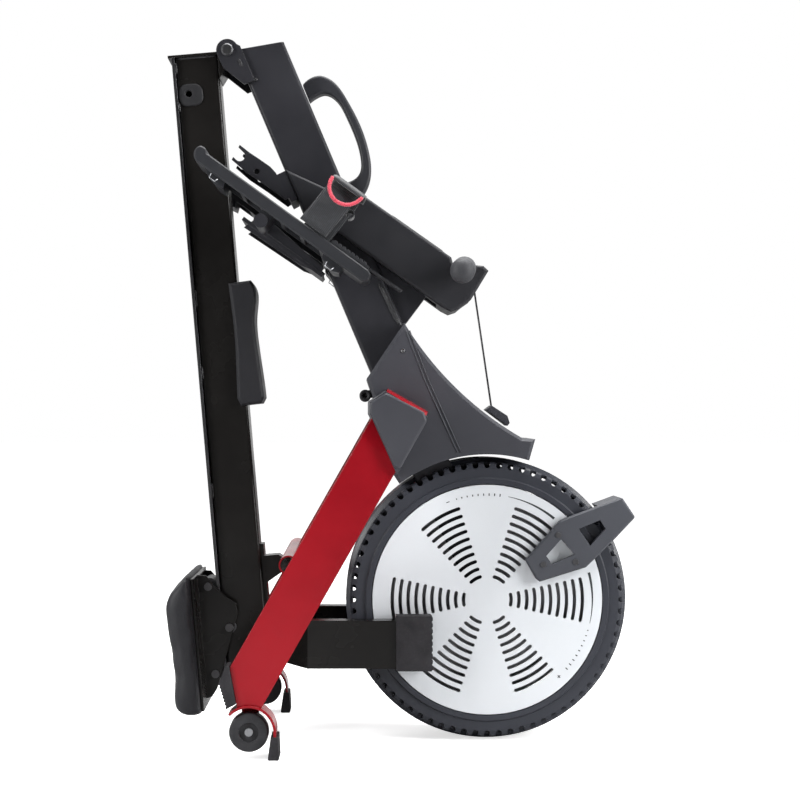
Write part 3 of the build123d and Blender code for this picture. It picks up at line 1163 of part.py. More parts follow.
# ---------------------------------------------------------------- rear leg
REAR_TOP = 198.0
REAR_BOTTOM = 122.0
REAR_WIDTH = 30.0
REAR_OUT = 111.0
REAR_CAP_START = -10.0
REAR_CAP_END = 48.0
rail_foot_x, rail_foot_z = rail_point(RAIL_FACE, 960)
with BuildPart() as rear_leg:
    with BuildSketch(level_plane(0, 0, REAR_BOTTOM)):
        Polygon(
            (rail_foot_x + 2, -34), (-196, -40), (-150, -(REAR_OUT + REAR_WIDTH / 2)),
            (REAR_CAP_END - 6, -(REAR_OUT + REAR_WIDTH / 2)),
            (REAR_CAP_END - 6, -(REAR_OUT - REAR_WIDTH / 2)),
            (-141, -(REAR_OUT - REAR_WIDTH / 2)), (-182, -24), (-182, 24),
            (-141, REAR_OUT - REAR_WIDTH / 2), (REAR_CAP_END - 6, REAR_OUT - REAR_WIDTH / 2),
            (REAR_CAP_END - 6, REAR_OUT + REAR_WIDTH / 2), (-150, REAR_OUT + REAR_WIDTH / 2),
            (-196, 40), (rail_foot_x + 2, 34), align=None,
        )
    extrude(amount=REAR_TOP - REAR_BOTTOM)
    with BuildSketch(level_plane(0, 0, REAR_BOTTOM + 3)):
        Polygon(
            (-196, -30), (-147, -(REAR_OUT + REAR_WIDTH / 2 - 3)),
            (REAR_CAP_END, -(REAR_OUT + REAR_WIDTH / 2 - 3)),
            (REAR_CAP_END, -(REAR_OUT - REAR_WIDTH / 2 + 3)),
            (-143, -(REAR_OUT - REAR_WIDTH / 2 + 3)), (-186, -24), (-186, 24),
            (-143, REAR_OUT - REAR_WIDTH / 2 + 3), (REAR_CAP_END, REAR_OUT - REAR_WIDTH / 2 + 3),
            (REAR_CAP_END, REAR_OUT + REAR_WIDTH / 2 - 3), (-147, REAR_OUT + REAR_WIDTH / 2 - 3),
            (-196, 30), align=None,
        )
    extrude(amount=REAR_TOP - REAR_BOTTOM - 6, mode=Mode.SUBTRACT)
    with BuildSketch(rail_side()):
        Polygon(
            (-120, -700), (RAIL_FACE + 0.2, -700), (RAIL_FACE + 0.2, -1100), (-120, -1100),
            align=None,
        )
    extrude(amount=90, both=True, mode=Mode.SUBTRACT)
rear_leg.part.label = "rear_leg"
export_step(rear_leg.part, "parts/rear_leg.step")

REAR_RIB_COUNT = 9
with BuildPart() as rear_caps:
    cap_bottom = REAR_BOTTOM - 3.5
    cap_height = REAR_TOP + 7.5 - cap_bottom
    cap_outline = [(REAR_CAP_START, cap_bottom + cap_height), (REAR_CAP_START, cap_bottom)]
    rib_pitch = cap_height / REAR_RIB_COUNT
    for rib in range(REAR_RIB_COUNT):
        base = cap_bottom + rib_pitch * rib
        cap_outline.append((REAR_CAP_END - 2.5, base))
        cap_outline.append((REAR_CAP_END, base + rib_pitch * 0.3))
        cap_outline.append((REAR_CAP_END, base + rib_pitch * 0.7))
    cap_outline.append((REAR_CAP_END - 2.5, cap_bottom + cap_height))
    with BuildSketch(Plane.XZ.offset(REAR_OUT - REAR_WIDTH / 2 - 1.5)):
        Polygon(*cap_outline, align=None)
    extrude(amount=REAR_WIDTH + 6)
    with BuildSketch(Plane.XZ.offset(REAR_OUT - REAR_WIDTH / 2 - 0.1)):
        Polygon(
            (REAR_CAP_START - 1, REAR_BOTTOM - 0.1), (REAR_CAP_END - 5.9, REAR_BOTTOM - 0.1),
            (REAR_CAP_END - 5.9, REAR_TOP + 0.1), (REAR_CAP_START - 1, REAR_TOP + 0.1), align=None,
        )
    extrude(amount=REAR_WIDTH + 0.2, mode=Mode.SUBTRACT)
    mirror(about=Plane.XZ)
rear_caps.part.label = "rear_caps"
export_step(rear_caps.part, "parts/rear_caps.step")

# ================================================================ SEAT
PLATE_INNER = 46.0
PLATE_OUTER = 50.0
CARRIAGE_TOP = -118.0
UPPER_ROLLER_RADIUS = 12.5
UPPER_ROLLER_ACROSS = TRACK_BACK - UPPER_ROLLER_RADIUS - 0.3
UPPER_ROLLERS_ALONG = (866.0, 1008.0)
LOWER_ROLLER_RADIUS = 10.4
LOWER_ROLLER_ACROSS = RAIL_BACK + LOWER_ROLLER_RADIUS + 0.5
LOWER_ROLLER_ALONG = 935.0
BOLT_RADIUS = 4.0
with BuildPart() as seat_carriage:
    with BuildSketch(rail_side(PLATE_INNER)):
        Polygon(
            (CARRIAGE_TOP - 3.5, -846), (-107, -848), (-92, -868), (-76, -886), (-62, -896),
            (-60.6, -914), (-104, -1032), (-113, -1044), (CARRIAGE_TOP - 3.5, -1046), align=None,
        )
        with Locations(
            (UPPER_ROLLER_ACROSS, -UPPER_ROLLERS_ALONG[0]),
            (UPPER_ROLLER_ACROSS, -UPPER_ROLLERS_ALONG[1]),
            (LOWER_ROLLER_ACROSS, -LOWER_ROLLER_ALONG),
        ):
            Circle(BOLT_RADIUS, mode=Mode.SUBTRACT)
    extrude(amount=PLATE_OUTER - PLATE_INNER)
    mirror(about=Plane.XZ)
    with BuildSketch(rail_side()):
        Polygon(
            (CARRIAGE_TOP - 3.5, -846), (CARRIAGE_TOP, -846), (CARRIAGE_TOP, -1046),
            (CARRIAGE_TOP - 3.5, -1046), align=None,
        )
    extrude(amount=PLATE_OUTER, both=True)
    with BuildSketch(rail_side()):
        Polygon((-125.5, -846), (-121.4, -846), (-121.4, -1056), (-125.5, -1056), align=None)
    extrude(amount=120, both=True)
seat_carriage.part.label = "seat_carriage"
export_step(seat_carriage.part, "parts/seat_carriage.step")

with BuildPart() as seat_cushion:
    with BuildSketch(rail_side()):
        with BuildLine():
            Polyline((-126, -842), (-126, -1058), (-158, -1060))
            Spline(
                (-158, -1060), (-167, -1052), (-166, -1020), (-161.5, -960), (-162, -920),
                (-166, -880), (-160, -850), (-146, -841),
            )
            Polyline((-146, -841), (-126, -842))
        make_face()
    extrude(amount=152, both=True)
seat_cushion.part.label = "seat_cushion"
export_step(seat_cushion.part, "parts/seat_cushion.step")

with BuildPart() as seat_bolts:
    with BuildSketch(rail_side()):
        with Locations(
            (UPPER_ROLLER_ACROSS, -UPPER_ROLLERS_ALONG[0]),
            (UPPER_ROLLER_ACROSS, -UPPER_ROLLERS_ALONG[1]),
        ):
            Circle(BOLT_RADIUS)
    extrude(amount=PLATE_OUTER, both=True)
    with BuildSketch(rail_side(PLATE_OUTER)):
        with Locations(
            (UPPER_ROLLER_ACROSS, -UPPER_ROLLERS_ALONG[0]),
            (UPPER_ROLLER_ACROSS, -UPPER_ROLLERS_ALONG[1]),
            (LOWER_ROLLER_ACROSS, -LOWER_ROLLER_ALONG),
        ):
            Circle(6.5)
    extrude(amount=4)
    with BuildSketch(rail_side(33.6)):
        with Locations((LOWER_ROLLER_ACROSS, -LOWER_ROLLER_ALONG)):
            Circle(BOLT_RADIUS)
    extrude(amount=PLATE_OUTER - 33.6)
    mirror(about=Plane.XZ)
seat_bolts.part.label = "seat_bolts"
export_step(seat_bolts.part, "parts/seat_bolts.step")

UPPER_ROLLER_NAMES = ("seat_roller_top", "seat_roller_low")
for name, along in zip(UPPER_ROLLER_NAMES, UPPER_ROLLERS_ALONG):
    with BuildPart() as upper_roller:
        with BuildSketch(rail_side()):
            with Locations((UPPER_ROLLER_ACROSS, -along)):
                Circle(UPPER_ROLLER_RADIUS)
                Circle(BOLT_RADIUS + FIT, mode=Mode.SUBTRACT)
        extrude(amount=32, both=True)
    upper_roller.part.label = name
    export_step(upper_roller.part, f"parts/{name}.step")

with BuildPart() as under_rollers:
    with BuildSketch(rail_side(34)):
        with Locations((LOWER_ROLLER_ACROSS, -LOWER_ROLLER_ALONG)):
            Circle(LOWER_ROLLER_RADIUS)
            Circle(BOLT_RADIUS + FIT, mode=Mode.SUBTRACT)
    extrude(amount=10)
    mirror(about=Plane.XZ)
under_rollers.part.label = "seat_under_rollers"
export_step(under_rollers.part, "parts/seat_under_rollers.step")
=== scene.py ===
"""Looks of the folded rowing machine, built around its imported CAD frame. Metres, +Z up."""

import math
import random

import bmesh
import bpy
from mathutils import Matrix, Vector


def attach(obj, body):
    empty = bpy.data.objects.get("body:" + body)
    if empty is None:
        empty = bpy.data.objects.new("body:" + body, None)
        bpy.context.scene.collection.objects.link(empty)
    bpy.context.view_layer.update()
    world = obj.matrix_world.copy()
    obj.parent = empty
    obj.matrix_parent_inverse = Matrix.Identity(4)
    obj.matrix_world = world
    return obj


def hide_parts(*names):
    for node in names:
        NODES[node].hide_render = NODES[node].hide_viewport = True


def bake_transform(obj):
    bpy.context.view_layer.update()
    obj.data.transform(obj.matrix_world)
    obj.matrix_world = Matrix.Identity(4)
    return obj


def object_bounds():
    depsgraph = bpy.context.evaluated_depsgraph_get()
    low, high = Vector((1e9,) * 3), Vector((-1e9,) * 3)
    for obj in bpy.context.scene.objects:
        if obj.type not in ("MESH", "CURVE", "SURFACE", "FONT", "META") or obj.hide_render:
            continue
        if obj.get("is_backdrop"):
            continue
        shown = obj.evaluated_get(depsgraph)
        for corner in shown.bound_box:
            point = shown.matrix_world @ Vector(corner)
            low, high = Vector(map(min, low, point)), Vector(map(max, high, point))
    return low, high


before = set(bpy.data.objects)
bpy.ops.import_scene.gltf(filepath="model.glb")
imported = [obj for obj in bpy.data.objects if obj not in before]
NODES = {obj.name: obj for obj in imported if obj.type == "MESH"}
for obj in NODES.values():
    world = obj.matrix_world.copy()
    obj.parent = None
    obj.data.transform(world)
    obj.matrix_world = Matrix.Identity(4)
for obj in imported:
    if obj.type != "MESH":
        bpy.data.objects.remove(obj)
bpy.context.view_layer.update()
scene = bpy.context.scene

# ---------------------------------------------------------------- places shared with the CAD
HINGE = (-0.283, 1.1165)
RAIL_LEAN = 4.9
SPINE_LEAN = 22.9
PEDAL_MIDDLE = (-0.187, 0.832)
PEDAL_TILT = -35.9
LEG_LEAN = -29.6
CONSOLE_LEAN = -35.2
FLYWHEEL = (0.137, 0.227)
STRAP_TOP = (0.1158, 0.762)
STRAP_FOOT = (0.1502, 0.527)
RIGHT = -1.0
LEFT = 1.0


def on_plane(origin, lean, a, b):
    """World x and z of a point given along and up a side plane that leans by `lean` degrees."""
    turn = math.radians(lean)
    x = origin[0] + a * math.cos(turn) - b * math.sin(turn)
    z = origin[1] + a * math.sin(turn) + b * math.cos(turn)
    return x, z


def rail_point(across, along, y):
    x, z = on_plane(HINGE, RAIL_LEAN, across, -along)
    return Vector((x, y, z))


def spine_point(across, along, y):
    x, z = on_plane(HINGE, SPINE_LEAN, across, -along)
    return Vector((x, y, z))


def pedal_point(s, t, y):
    x, z = on_plane(PEDAL_MIDDLE, PEDAL_TILT, s, t)
    return Vector((x, y, z))


# ---------------------------------------------------------------- materials
class Shader:
    """Small wrapper that builds one node material in object space."""

    def __init__(self, name):
        self.material = bpy.data.materials.new(name)
        self.material.use_nodes = True
        self.tree = self.material.node_tree
        self.tree.nodes.clear()
        self.output = self.tree.nodes.new("ShaderNodeOutputMaterial")
        self.shader = self.tree.nodes.new("ShaderNodeBsdfPrincipled")
        self.link(self.shader.outputs["BSDF"], self.output.inputs["Surface"])
        self.coords = self.tree.nodes.new("ShaderNodeTexCoord")

    def link(self, source, target):
        self.tree.links.new(source, target)

    def mapped(self, lean=0.0, scale=(1, 1, 1)):
        """Object coordinates turned to lie along a leaning beam, then scaled."""
        mapping = self.tree.nodes.new("ShaderNodeMapping")
        mapping.inputs["Rotation"].default_value = (0, math.radians(lean), 0)
        mapping.inputs["Scale"].default_value = scale
        self.link(self.coords.outputs["Object"], mapping.inputs["Vector"])
        return mapping.outputs["Vector"]

    def noise(self, scale, detail=3.0, vector=None):
        node = self.tree.nodes.new("ShaderNodeTexNoise")
        node.inputs["Scale"].default_value = scale
        node.inputs["Detail"].default_value = detail
        self.link(vector or self.coords.outputs["Object"], node.inputs["Vector"])
        return node.outputs["Fac"]

    def cells(self, scale, feature="F1"):
        node = self.tree.nodes.new("ShaderNodeTexVoronoi")
        node.feature = feature
        node.inputs["Scale"].default_value = scale
        self.link(self.coords.outputs["Object"], node.inputs["Vector"])
        return node.outputs["Distance"]

    def wave(self, scale, vector, axis="X"):
        node = self.tree.nodes.new("ShaderNodeTexWave")
        node.bands_direction = axis
        node.inputs["Scale"].default_value = scale
        self.link(vector, node.inputs["Vector"])
        return node.outputs["Fac"]

    def ramp(self, value, low, high, to_low=0.0, to_high=1.0):
        node = self.tree.nodes.new("ShaderNodeMapRange")
        limits = {"From Min": low, "From Max": high, "To Min": to_low, "To Max": to_high}
        for key, number in limits.items():
            node.inputs[key].default_value = number
        self.link(value, node.inputs["Value"])
        return node.outputs["Result"]

    def math(self, operation, a, b):
        node = self.tree.nodes.new("ShaderNodeMath")
        node.operation = operation
        for socket, value in zip(node.inputs, (a, b)):
            if isinstance(value, (int, float)):
                socket.default_value = value
            else:
                self.link(value, socket)
        return node.outputs["Value"]

    def mix(self, factor, a, b):
        node = self.tree.nodes.new("ShaderNodeMix")
        node.data_type = "RGBA"
        self.link(factor, node.inputs["Factor"])
        for key, value in (("A", a), ("B", b)):
            socket = [s for s in node.inputs if s.name == key and s.type == "RGBA"][0]
            if isinstance(value, tuple):
                socket.default_value = (*value, 1)
            else:
                self.link(value, socket)
        return [s for s in node.outputs if s.type == "RGBA"][0]

    def edge(self, radius):
        """Rounded normal at edges, and a mask that is 1 on them."""
        bevel = self.tree.nodes.new("ShaderNodeBevel")
        bevel.samples = 4
        bevel.inputs["Radius"].default_value = radius
        geometry = self.tree.nodes.new("ShaderNodeNewGeometry")
        dot = self.tree.nodes.new("ShaderNodeVectorMath")
        dot.operation = "DOT_PRODUCT"
        self.link(bevel.outputs["Normal"], dot.inputs[0])
        self.link(geometry.outputs["True Normal"], dot.inputs[1])
        mask = self.ramp(dot.outputs["Value"], 0.99, 0.8)
        return bevel.outputs["Normal"], mask

    def bump(self, height, distance, normal=None):
        node = self.tree.nodes.new("ShaderNodeBump")
        node.inputs["Strength"].default_value = 1.0
        node.inputs["Distance"].default_value = distance
        self.link(height, node.inputs["Height"])
        if normal is not None:
            self.link(normal, node.inputs["Normal"])
        return node.outputs["Normal"]

    def set(self, **values):
        for key, value in values.items():
            socket = self.shader.inputs[key.replace("_", " ")]
            if isinstance(value, (int, float)):
                socket.default_value = value
            elif isinstance(value, tuple):
                socket.default_value = (*value, 1)
            else:
                self.link(value, socket)


def painted(
    name, colour, rough, lean=0.0, coat=0.0, edge_wear_and_highlight=0.05, edge_radius=0.0022, orange_peel=0.00004
):
    """Sprayed or powder coated steel: slight colour drift, orange peel, and paler edges, partly thin
    worn paint and partly a painted highlight.
    """
    m = Shader(name)
    drift = m.ramp(m.noise(7, 4), 0.3, 0.7)
    darker = tuple(c * 0.82 for c in colour)
    lighter = tuple(min(1.0, c * 1.18 + 0.002) for c in colour)
    body = m.mix(drift, darker, lighter)
    dust = m.ramp(m.noise(900, 2), 0.66, 0.8, 0, 0.25)
    body = m.mix(dust, body, tuple(min(1.0, c * 1.6 + 0.02) for c in colour))
    normal, mask = m.edge(edge_radius)
    streak = m.ramp(m.noise(60, 3, m.mapped(lean, (1, 1, 0.3))), 0.5, 0.8)
    # paler edges: partly worn thin paint, partly a painted highlight along the edges
    rubbed = m.math("MULTIPLY", mask, m.math("MULTIPLY", streak, edge_wear_and_highlight))
    body = m.mix(rubbed, body, tuple(min(1.0, c * 2 + 0.12) for c in colour))
    gloss = m.ramp(m.noise(14, 3), 0.25, 0.75, rough * 0.85, rough * 1.25)
    m.set(Base_Color=body, Roughness=gloss, Specular_IOR_Level=0.22)
    m.set(Coat_Weight=coat, Coat_Roughness=0.06)
    m.set(Normal=m.bump(m.noise(650, 2), orange_peel, normal))
    return m.material


def moulded(name, colour, rough, grain=1400.0, depth=0.00006, edge_radius=0.0012, edge_wear_and_highlight=0.12):
    """Moulded plastic with a spark-eroded grain and slightly polished edges, paler partly from
    rubbing and partly as a painted highlight.
    """
    m = Shader(name)
    drift = m.ramp(m.noise(9, 3), 0.3, 0.7)
    body = m.mix(drift, tuple(c * 0.88 for c in colour), tuple(c * 1.12 for c in colour))
    cells = m.cells(grain)
    speckle = m.ramp(cells, 0.1, 0.9)
    body = m.mix(speckle, tuple(c * 0.9 for c in colour), body)
    normal, mask = m.edge(edge_radius)
    # paler edges: partly rubbed plastic, partly a painted highlight on the rims
    edge_scuff_and_highlight = m.math("MULTIPLY", mask, m.ramp(m.noise(120, 4), 0.4, 0.7, 0, edge_wear_and_highlight))
    body = m.mix(edge_scuff_and_highlight, body, tuple(min(1.0, c * 1.8 + 0.05) for c in colour))
    gloss = m.ramp(m.noise(45, 4), 0.3, 0.7, rough * 0.85, rough * 1.15)
    fine = m.math("MULTIPLY", m.noise(grain * 0.6, 3), 0.6)
    height = m.math("ADD", m.math("MULTIPLY", cells, 0.7), fine)
    m.set(Base_Color=body, Roughness=gloss, Specular_IOR_Level=0.28)
    m.set(Normal=m.bump(height, depth, normal))
    return m.material


def rubbery(name, colour, rough=0.75):
    """Black rubber: mottled, slightly dusty, and pale at its edges, partly worn and partly a painted
    highlight.
    """
    m = Shader(name)
    mottle = m.ramp(m.noise(40, 5), 0.35, 0.7)
    body = m.mix(mottle, tuple(c * 0.8 for c in colour), tuple(c * 1.3 for c in colour))
    dust = m.ramp(m.noise(300, 5), 0.55, 0.75, 0, 0.18)
    body = m.mix(dust, body, tuple(c * 2 + 0.03 for c in colour))
    normal, mask = m.edge(0.0012)
    # pale edges: partly worn rubber, partly a painted highlight on the corners
    body = m.mix(m.math("MULTIPLY", mask, 0.12), body, tuple(c * 2 + 0.06 for c in colour))
    gloss = m.ramp(m.noise(90, 3), 0.3, 0.7, rough * 0.9, min(1, rough * 1.1))
    m.set(Base_Color=body, Roughness=gloss, Specular_IOR_Level=0.3)
    m.set(Normal=m.bump(m.noise(1600, 3), 0.00008, normal))
    return m.material


def metallic(name, colour, rough, lean=0.0):
    """Plain or plated steel, brushed along its length, with duller patches."""
    m = Shader(name)
    brushed = 0.12
    streak = m.noise(420, 4, m.mapped(lean, (1, 1, 0.06)))
    body = m.mix(m.ramp(streak, 0.3, 0.7), tuple(c * 0.8 for c in colour), colour)
    body = m.mix(m.ramp(m.noise(60, 5), 0.55, 0.8, 0, 0.35), body, tuple(c * 0.55 for c in colour))
    normal, mask = m.edge(0.0008)
    body = m.mix(m.math("MULTIPLY", mask, 0.3), body, tuple(min(1, c * 1.4) for c in colour))
    gloss = m.ramp(streak, 0.2, 0.8, rough - brushed / 2, rough + brushed)
    m.set(Base_Color=body, Metallic=1.0, Roughness=gloss)
    m.set(Normal=m.bump(streak, 0.00002, normal))
    return m.material


def silver_disc(name):
    """Silver painted plastic: fine metallic flake under a satin lacquer."""
    m = Shader(name)
    flake = m.cells(2600)
    base = m.mix(m.ramp(m.noise(5, 2), 0.3, 0.7), (0.63, 0.66, 0.69), (0.68, 0.705, 0.735))
    base = m.mix(m.ramp(flake, 0.1, 0.6, 0, 0.3), base, (0.76, 0.785, 0.81))
    normal, mask = m.edge(0.0006)
    base = m.mix(m.math("MULTIPLY", mask, 0.25), base, (0.9, 0.92, 0.94))
    gloss = m.ramp(m.noise(70, 3), 0.3, 0.7, 0.34, 0.44)
    m.set(Base_Color=base, Metallic=0.12, Roughness=gloss, Coat_Weight=0.2, Coat_Roughness=0.2)
    m.set(Normal=m.bump(flake, 0.000015, normal))
    return m.material


def webbing(name, lean, colour):
    """Woven strap: crossed ribs under a fuzzy sheen."""
    m = Shader(name)
    vector = m.mapped(lean)
    warp = m.wave(120, vector, "X")
    weft = m.wave(150, vector, "Y")
    weave = m.math("MULTIPLY", warp, weft)
    body = m.mix(m.ramp(weave, 0.05, 0.6), tuple(c * 0.45 for c in colour), colour)
    body = m.mix(m.ramp(m.noise(220, 4), 0.5, 0.8, 0, 0.4), body, tuple(c * 1.7 for c in colour))
    m.set(Base_Color=body, Roughness=0.88, Sheen_Weight=0.35, Sheen_Roughness=0.5)
    fuzz = m.math("ADD", weave, m.math("MULTIPLY", m.noise(2400, 3), 0.35))
    m.set(Normal=m.bump(fuzz, 0.00035))
    return m.material


def vinyl(name):
    """Seat cover: pebbled black vinyl with fine creases, darkened along them as painted shade."""
    m = Shader(name)
    pebble = m.cells(520, feature="SMOOTH_F1")
    crease = m.cells(170, feature="DISTANCE_TO_EDGE")
    body = m.mix(m.ramp(m.noise(14, 4), 0.3, 0.7), (0.014, 0.014, 0.017), (0.023, 0.023, 0.027))
    # darker along the creases: painted shade in them
    body = m.mix(m.ramp(crease, 0.0, 0.06, 0.5, 0), body, (0.014, 0.014, 0.016))
    body = m.mix(m.ramp(m.noise(8, 3), 0.55, 0.8, 0, 0.3), body, (0.055, 0.055, 0.06))
    height = m.math("ADD", m.math("MULTIPLY", pebble, 0.8), m.ramp(crease, 0.0, 0.05, -0.5, 0))
    gloss = m.ramp(m.noise(30, 4), 0.3, 0.7, 0.42, 0.56)
    m.set(Base_Color=body, Roughness=gloss, Specular_IOR_Level=0.3)
    m.set(Normal=m.bump(height, 0.00022))
    return m.material


def foam(name):
    """Black foam grip: open pores and paler rubbed patches."""
    m = Shader(name)
    pores = m.cells(1300)
    body = m.mix(m.ramp(pores, 0.15, 0.6), (0.008, 0.008, 0.009), (0.034, 0.035, 0.041))
    body = m.mix(m.ramp(m.noise(25, 4), 0.45, 0.8, 0, 0.5), body, (0.055, 0.056, 0.064))
    height = m.math("ADD", pores, m.math("MULTIPLY", m.noise(900, 4), 0.5))
    m.set(Base_Color=body, Roughness=0.62, Normal=m.bump(height, 0.00012))
    return m.material


def braided(name):
    """Red braided cord: crossing strands under a fabric sheen."""
    m = Shader(name)
    strands = m.wave(260, m.mapped(30), "DIAGONAL")
    cross = m.wave(260, m.mapped(-50), "DIAGONAL")
    weave = m.math("MAXIMUM", strands, cross)
    body = m.mix(m.ramp(weave, 0.35, 0.95), (0.28, 0.012, 0.03), (0.85, 0.06, 0.11))
    body = m.mix(m.ramp(m.noise(800, 3), 0.6, 0.8, 0, 0.4), body, (0.95, 0.35, 0.38))
    m.set(Base_Color=body, Roughness=0.7, Sheen_Weight=0.4, Normal=m.bump(weave, 0.0004))
    return m.material


def display(name):
    """Liquid crystal window: faint segment grid under glossy plastic."""
    m = Shader(name)
    vector = m.mapped(CONSOLE_LEAN)
    columns = m.wave(28, vector, "Y")
    rows = m.wave(20, vector, "X")
    grid = m.math("MULTIPLY", m.ramp(columns, 0.9, 1), m.ramp(rows, 0.3, 0.9))
    body = m.mix(grid, (0.19, 0.21, 0.18), (0.13, 0.145, 0.125))
    body = m.mix(m.ramp(m.noise(300, 3), 0.55, 0.8, 0, 0.2), body, (0.25, 0.27, 0.24))
    gloss = m.ramp(m.noise(90, 3), 0.3, 0.7, 0.1, 0.18)
    m.set(Base_Color=body, Roughness=gloss, Coat_Weight=0.8, Coat_Roughness=0.04)
    return m.material


MATERIAL = {
    "black_gloss": painted("black_gloss", (0.0078, 0.0071, 0.0066), 0.24, RAIL_LEAN, edge_wear_and_highlight=0.35),
    "black_satin": painted("black_satin", (0.021, 0.021, 0.025), 0.36, SPINE_LEAN, edge_wear_and_highlight=0.35),
    "red_gloss": painted(
        "red_gloss", (0.262, 0.0028, 0.0085), 0.2, LEG_LEAN, coat=0.08, edge_wear_and_highlight=0.3, edge_radius=0.003
    ),
    "shroud_grey": moulded("shroud_grey", (0.05, 0.051, 0.06), 0.42, 1500),
    "arm_grey": moulded("arm_grey", (0.022, 0.0222, 0.026), 0.46, 1100, 0.00009),
    "handle_grey": moulded("handle_grey", (0.026, 0.0265, 0.031), 0.4, 1500),
    "pedal_grey": moulded("pedal_grey", (0.026, 0.027, 0.031), 0.42, 1300),
    "slider_grey": moulded("slider_grey", (0.034, 0.035, 0.039), 0.45, 1500),
    "cover_grey": moulded("cover_grey", (0.036, 0.0385, 0.048), 0.34, 1700, 0.00004),
    "lever_grey": moulded("lever_grey", (0.06, 0.063, 0.074), 0.42, 1500),
    "plain_black": moulded("plain_black", (0.018, 0.018, 0.02), 0.5),
    "grip_black": moulded("grip_black", (0.017, 0.017, 0.02), 0.5, 1000, 0.0001, 0.003),
    "roller_nylon": moulded("roller_nylon", (0.06, 0.06, 0.064), 0.4),
    "key_rubber": rubbery("key_rubber", (0.16, 0.16, 0.17), 0.6),
    "rubber": rubbery("rubber", (0.023, 0.022, 0.025)),
    "wheel_rubber": rubbery("wheel_rubber", (0.03, 0.03, 0.033), 0.45),
    "bolt": metallic("bolt", (0.42, 0.43, 0.45), 0.35),
    "dark_bolt": metallic("dark_bolt", (0.12, 0.12, 0.125), 0.38),
    "track": metallic("track", (0.10, 0.10, 0.105), 0.34, RAIL_LEAN),
    "iron": metallic("iron", (0.30, 0.30, 0.31), 0.4),
    "board": moulded("board", (0.01, 0.08, 0.03), 0.4),
    "disc": silver_disc("disc"),
    "webbing": webbing("webbing", PEDAL_TILT, (0.024, 0.026, 0.031)),
    "pull_webbing": webbing("pull_webbing", 0, (0.035, 0.036, 0.04)),
    "vinyl": vinyl("vinyl"),
    "foam": foam("foam"),
    "braid": braided("braid"),
    "display": display("display"),
    "print": moulded("print", (0.045, 0.05, 0.055), 0.5, 2200, 0.00001),
    "white_print": moulded("white_print", (0.62, 0.63, 0.64), 0.5, 2200, 0.00001),
    # weld beads: their strong pale edge tint is partly worn paint and partly a painted highlight on
    # the ripples
    "weld": painted("weld", (0.03, 0.03, 0.032), 0.22, edge_wear_and_highlight=0.8, orange_peel=0.0002),
}

NODE_MATERIAL = {
    "black_gloss": "rail_tube rail_hinge_end rear_leg seat_carriage rest_bracket handlebar_tube",
    "black_satin": "spine_beam storage_fork pedal_bracket flywheel_brackets",
    "red_gloss": "leg_arch leg_crossbar wheel_fenders",
    "shroud_grey": "shroud_right shroud_left leg_covers strap_guide",
    "arm_grey": "console_housing_right console_housing_left",
    "handle_grey": "top_handle",
    "pedal_grey": "foot_plate_right foot_plate_left",
    "slider_grey": "toe_slider_right toe_slider_left",
    "cover_grey": "flywheel_cover_right flywheel_cover_left",
    "lever_grey": "resistance_lever",
    "plain_black": "console_bezel rail_end_cap rail_plug strap_drum",
    "grip_black": "rail_grip",
    "roller_nylon": "seat_roller_top seat_roller_low seat_under_rollers",
    "key_rubber": "key_plus key_minus",
    "rubber": "fender_tips front_feet rear_caps",
    "wheel_rubber": "transport_wheel_right transport_wheel_left",
    "bolt": "wheel_bolts flywheel_axle inner_shafts",
    "dark_bolt": "hinge_pin seat_bolts lever_screws",
    "track": "rail_track",
    "iron": "flywheel magnet_carrier",
    "board": "console_board",
    "disc": "dial_disc side_disc_left",
    "foam": "handlebar_grips",
    "display": "console_screen",
}
for material_name, node_names in NODE_MATERIAL.items():
    for node_name in node_names.split():
        mesh = NODES[node_name].data
        mesh.materials.clear()
        mesh.materials.append(MATERIAL[material_name])


# ---------------------------------------------------------------- mesh helpers
def new_object(name, body, material, bm, smooth=True):
    """Turns a bmesh into a piece that rides on a CAD body, or on none if no body is given."""
    bmesh.ops.recalc_face_normals(bm, faces=bm.faces[:])
    mesh = bpy.data.meshes.new(name)
    bm.to_mesh(mesh)
    bm.free()
    for polygon in mesh.polygons:
        polygon.use_smooth = smooth
    mesh.materials.clear()
    mesh.materials.append(MATERIAL[material])
    obj = bpy.data.objects.new(name, mesh)
    scene.collection.objects.link(obj)
    if body:
        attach(obj, body)
    return obj


def skin(bm, rings):
    """Joins rings of vertices into a tube and closes both of its ends."""
    count = len(rings[0])
    for ring, following in zip(rings, rings[1:]):
        for i in range(count):
            j = (i + 1) % count
            bm.faces.new((ring[i], ring[j], following[j], following[i]))
    bm.faces.new(rings[0][::-1])
    bm.faces.new(rings[-1])


def thicken(bm, offset):
    """Extrudes an open sheet by an offset, so that it becomes a closed solid."""
    extruded = bmesh.ops.extrude_face_region(bm, geom=bm.faces[:])
    moved = [g for g in extruded["geom"] if isinstance(g, bmesh.types.BMVert)]
    bmesh.ops.translate(bm, verts=moved, vec=offset)


def sweep(bm, points, section):
    """Sweeps a closed section, a list of (side, up) offsets, along a line of points."""
    rings = []
    up_hint = None
    for i, point in enumerate(points):
        before = points[max(i - 1, 0)]
        after = points[min(i + 1, len(points) - 1)]
        tangent = (after - before).normalized()
        if up_hint is None:
            up_hint = Vector((0, 1, 0)) if abs(tangent.y) < 0.9 else Vector((1, 0, 0))
        side = tangent.cross(up_hint).normalized()
        up = side.cross(tangent).normalized()
        up_hint = up
        rings.append([bm.verts.new(point + side * a + up * b) for a, b in section])
    skin(bm, rings)


def circle_section(radius, count):
    return [
        (radius * math.cos(2 * math.pi * i / count), radius * math.sin(2 * math.pi * i / count))
        for i in range(count)
    ]


TURNED_SIDES = 28


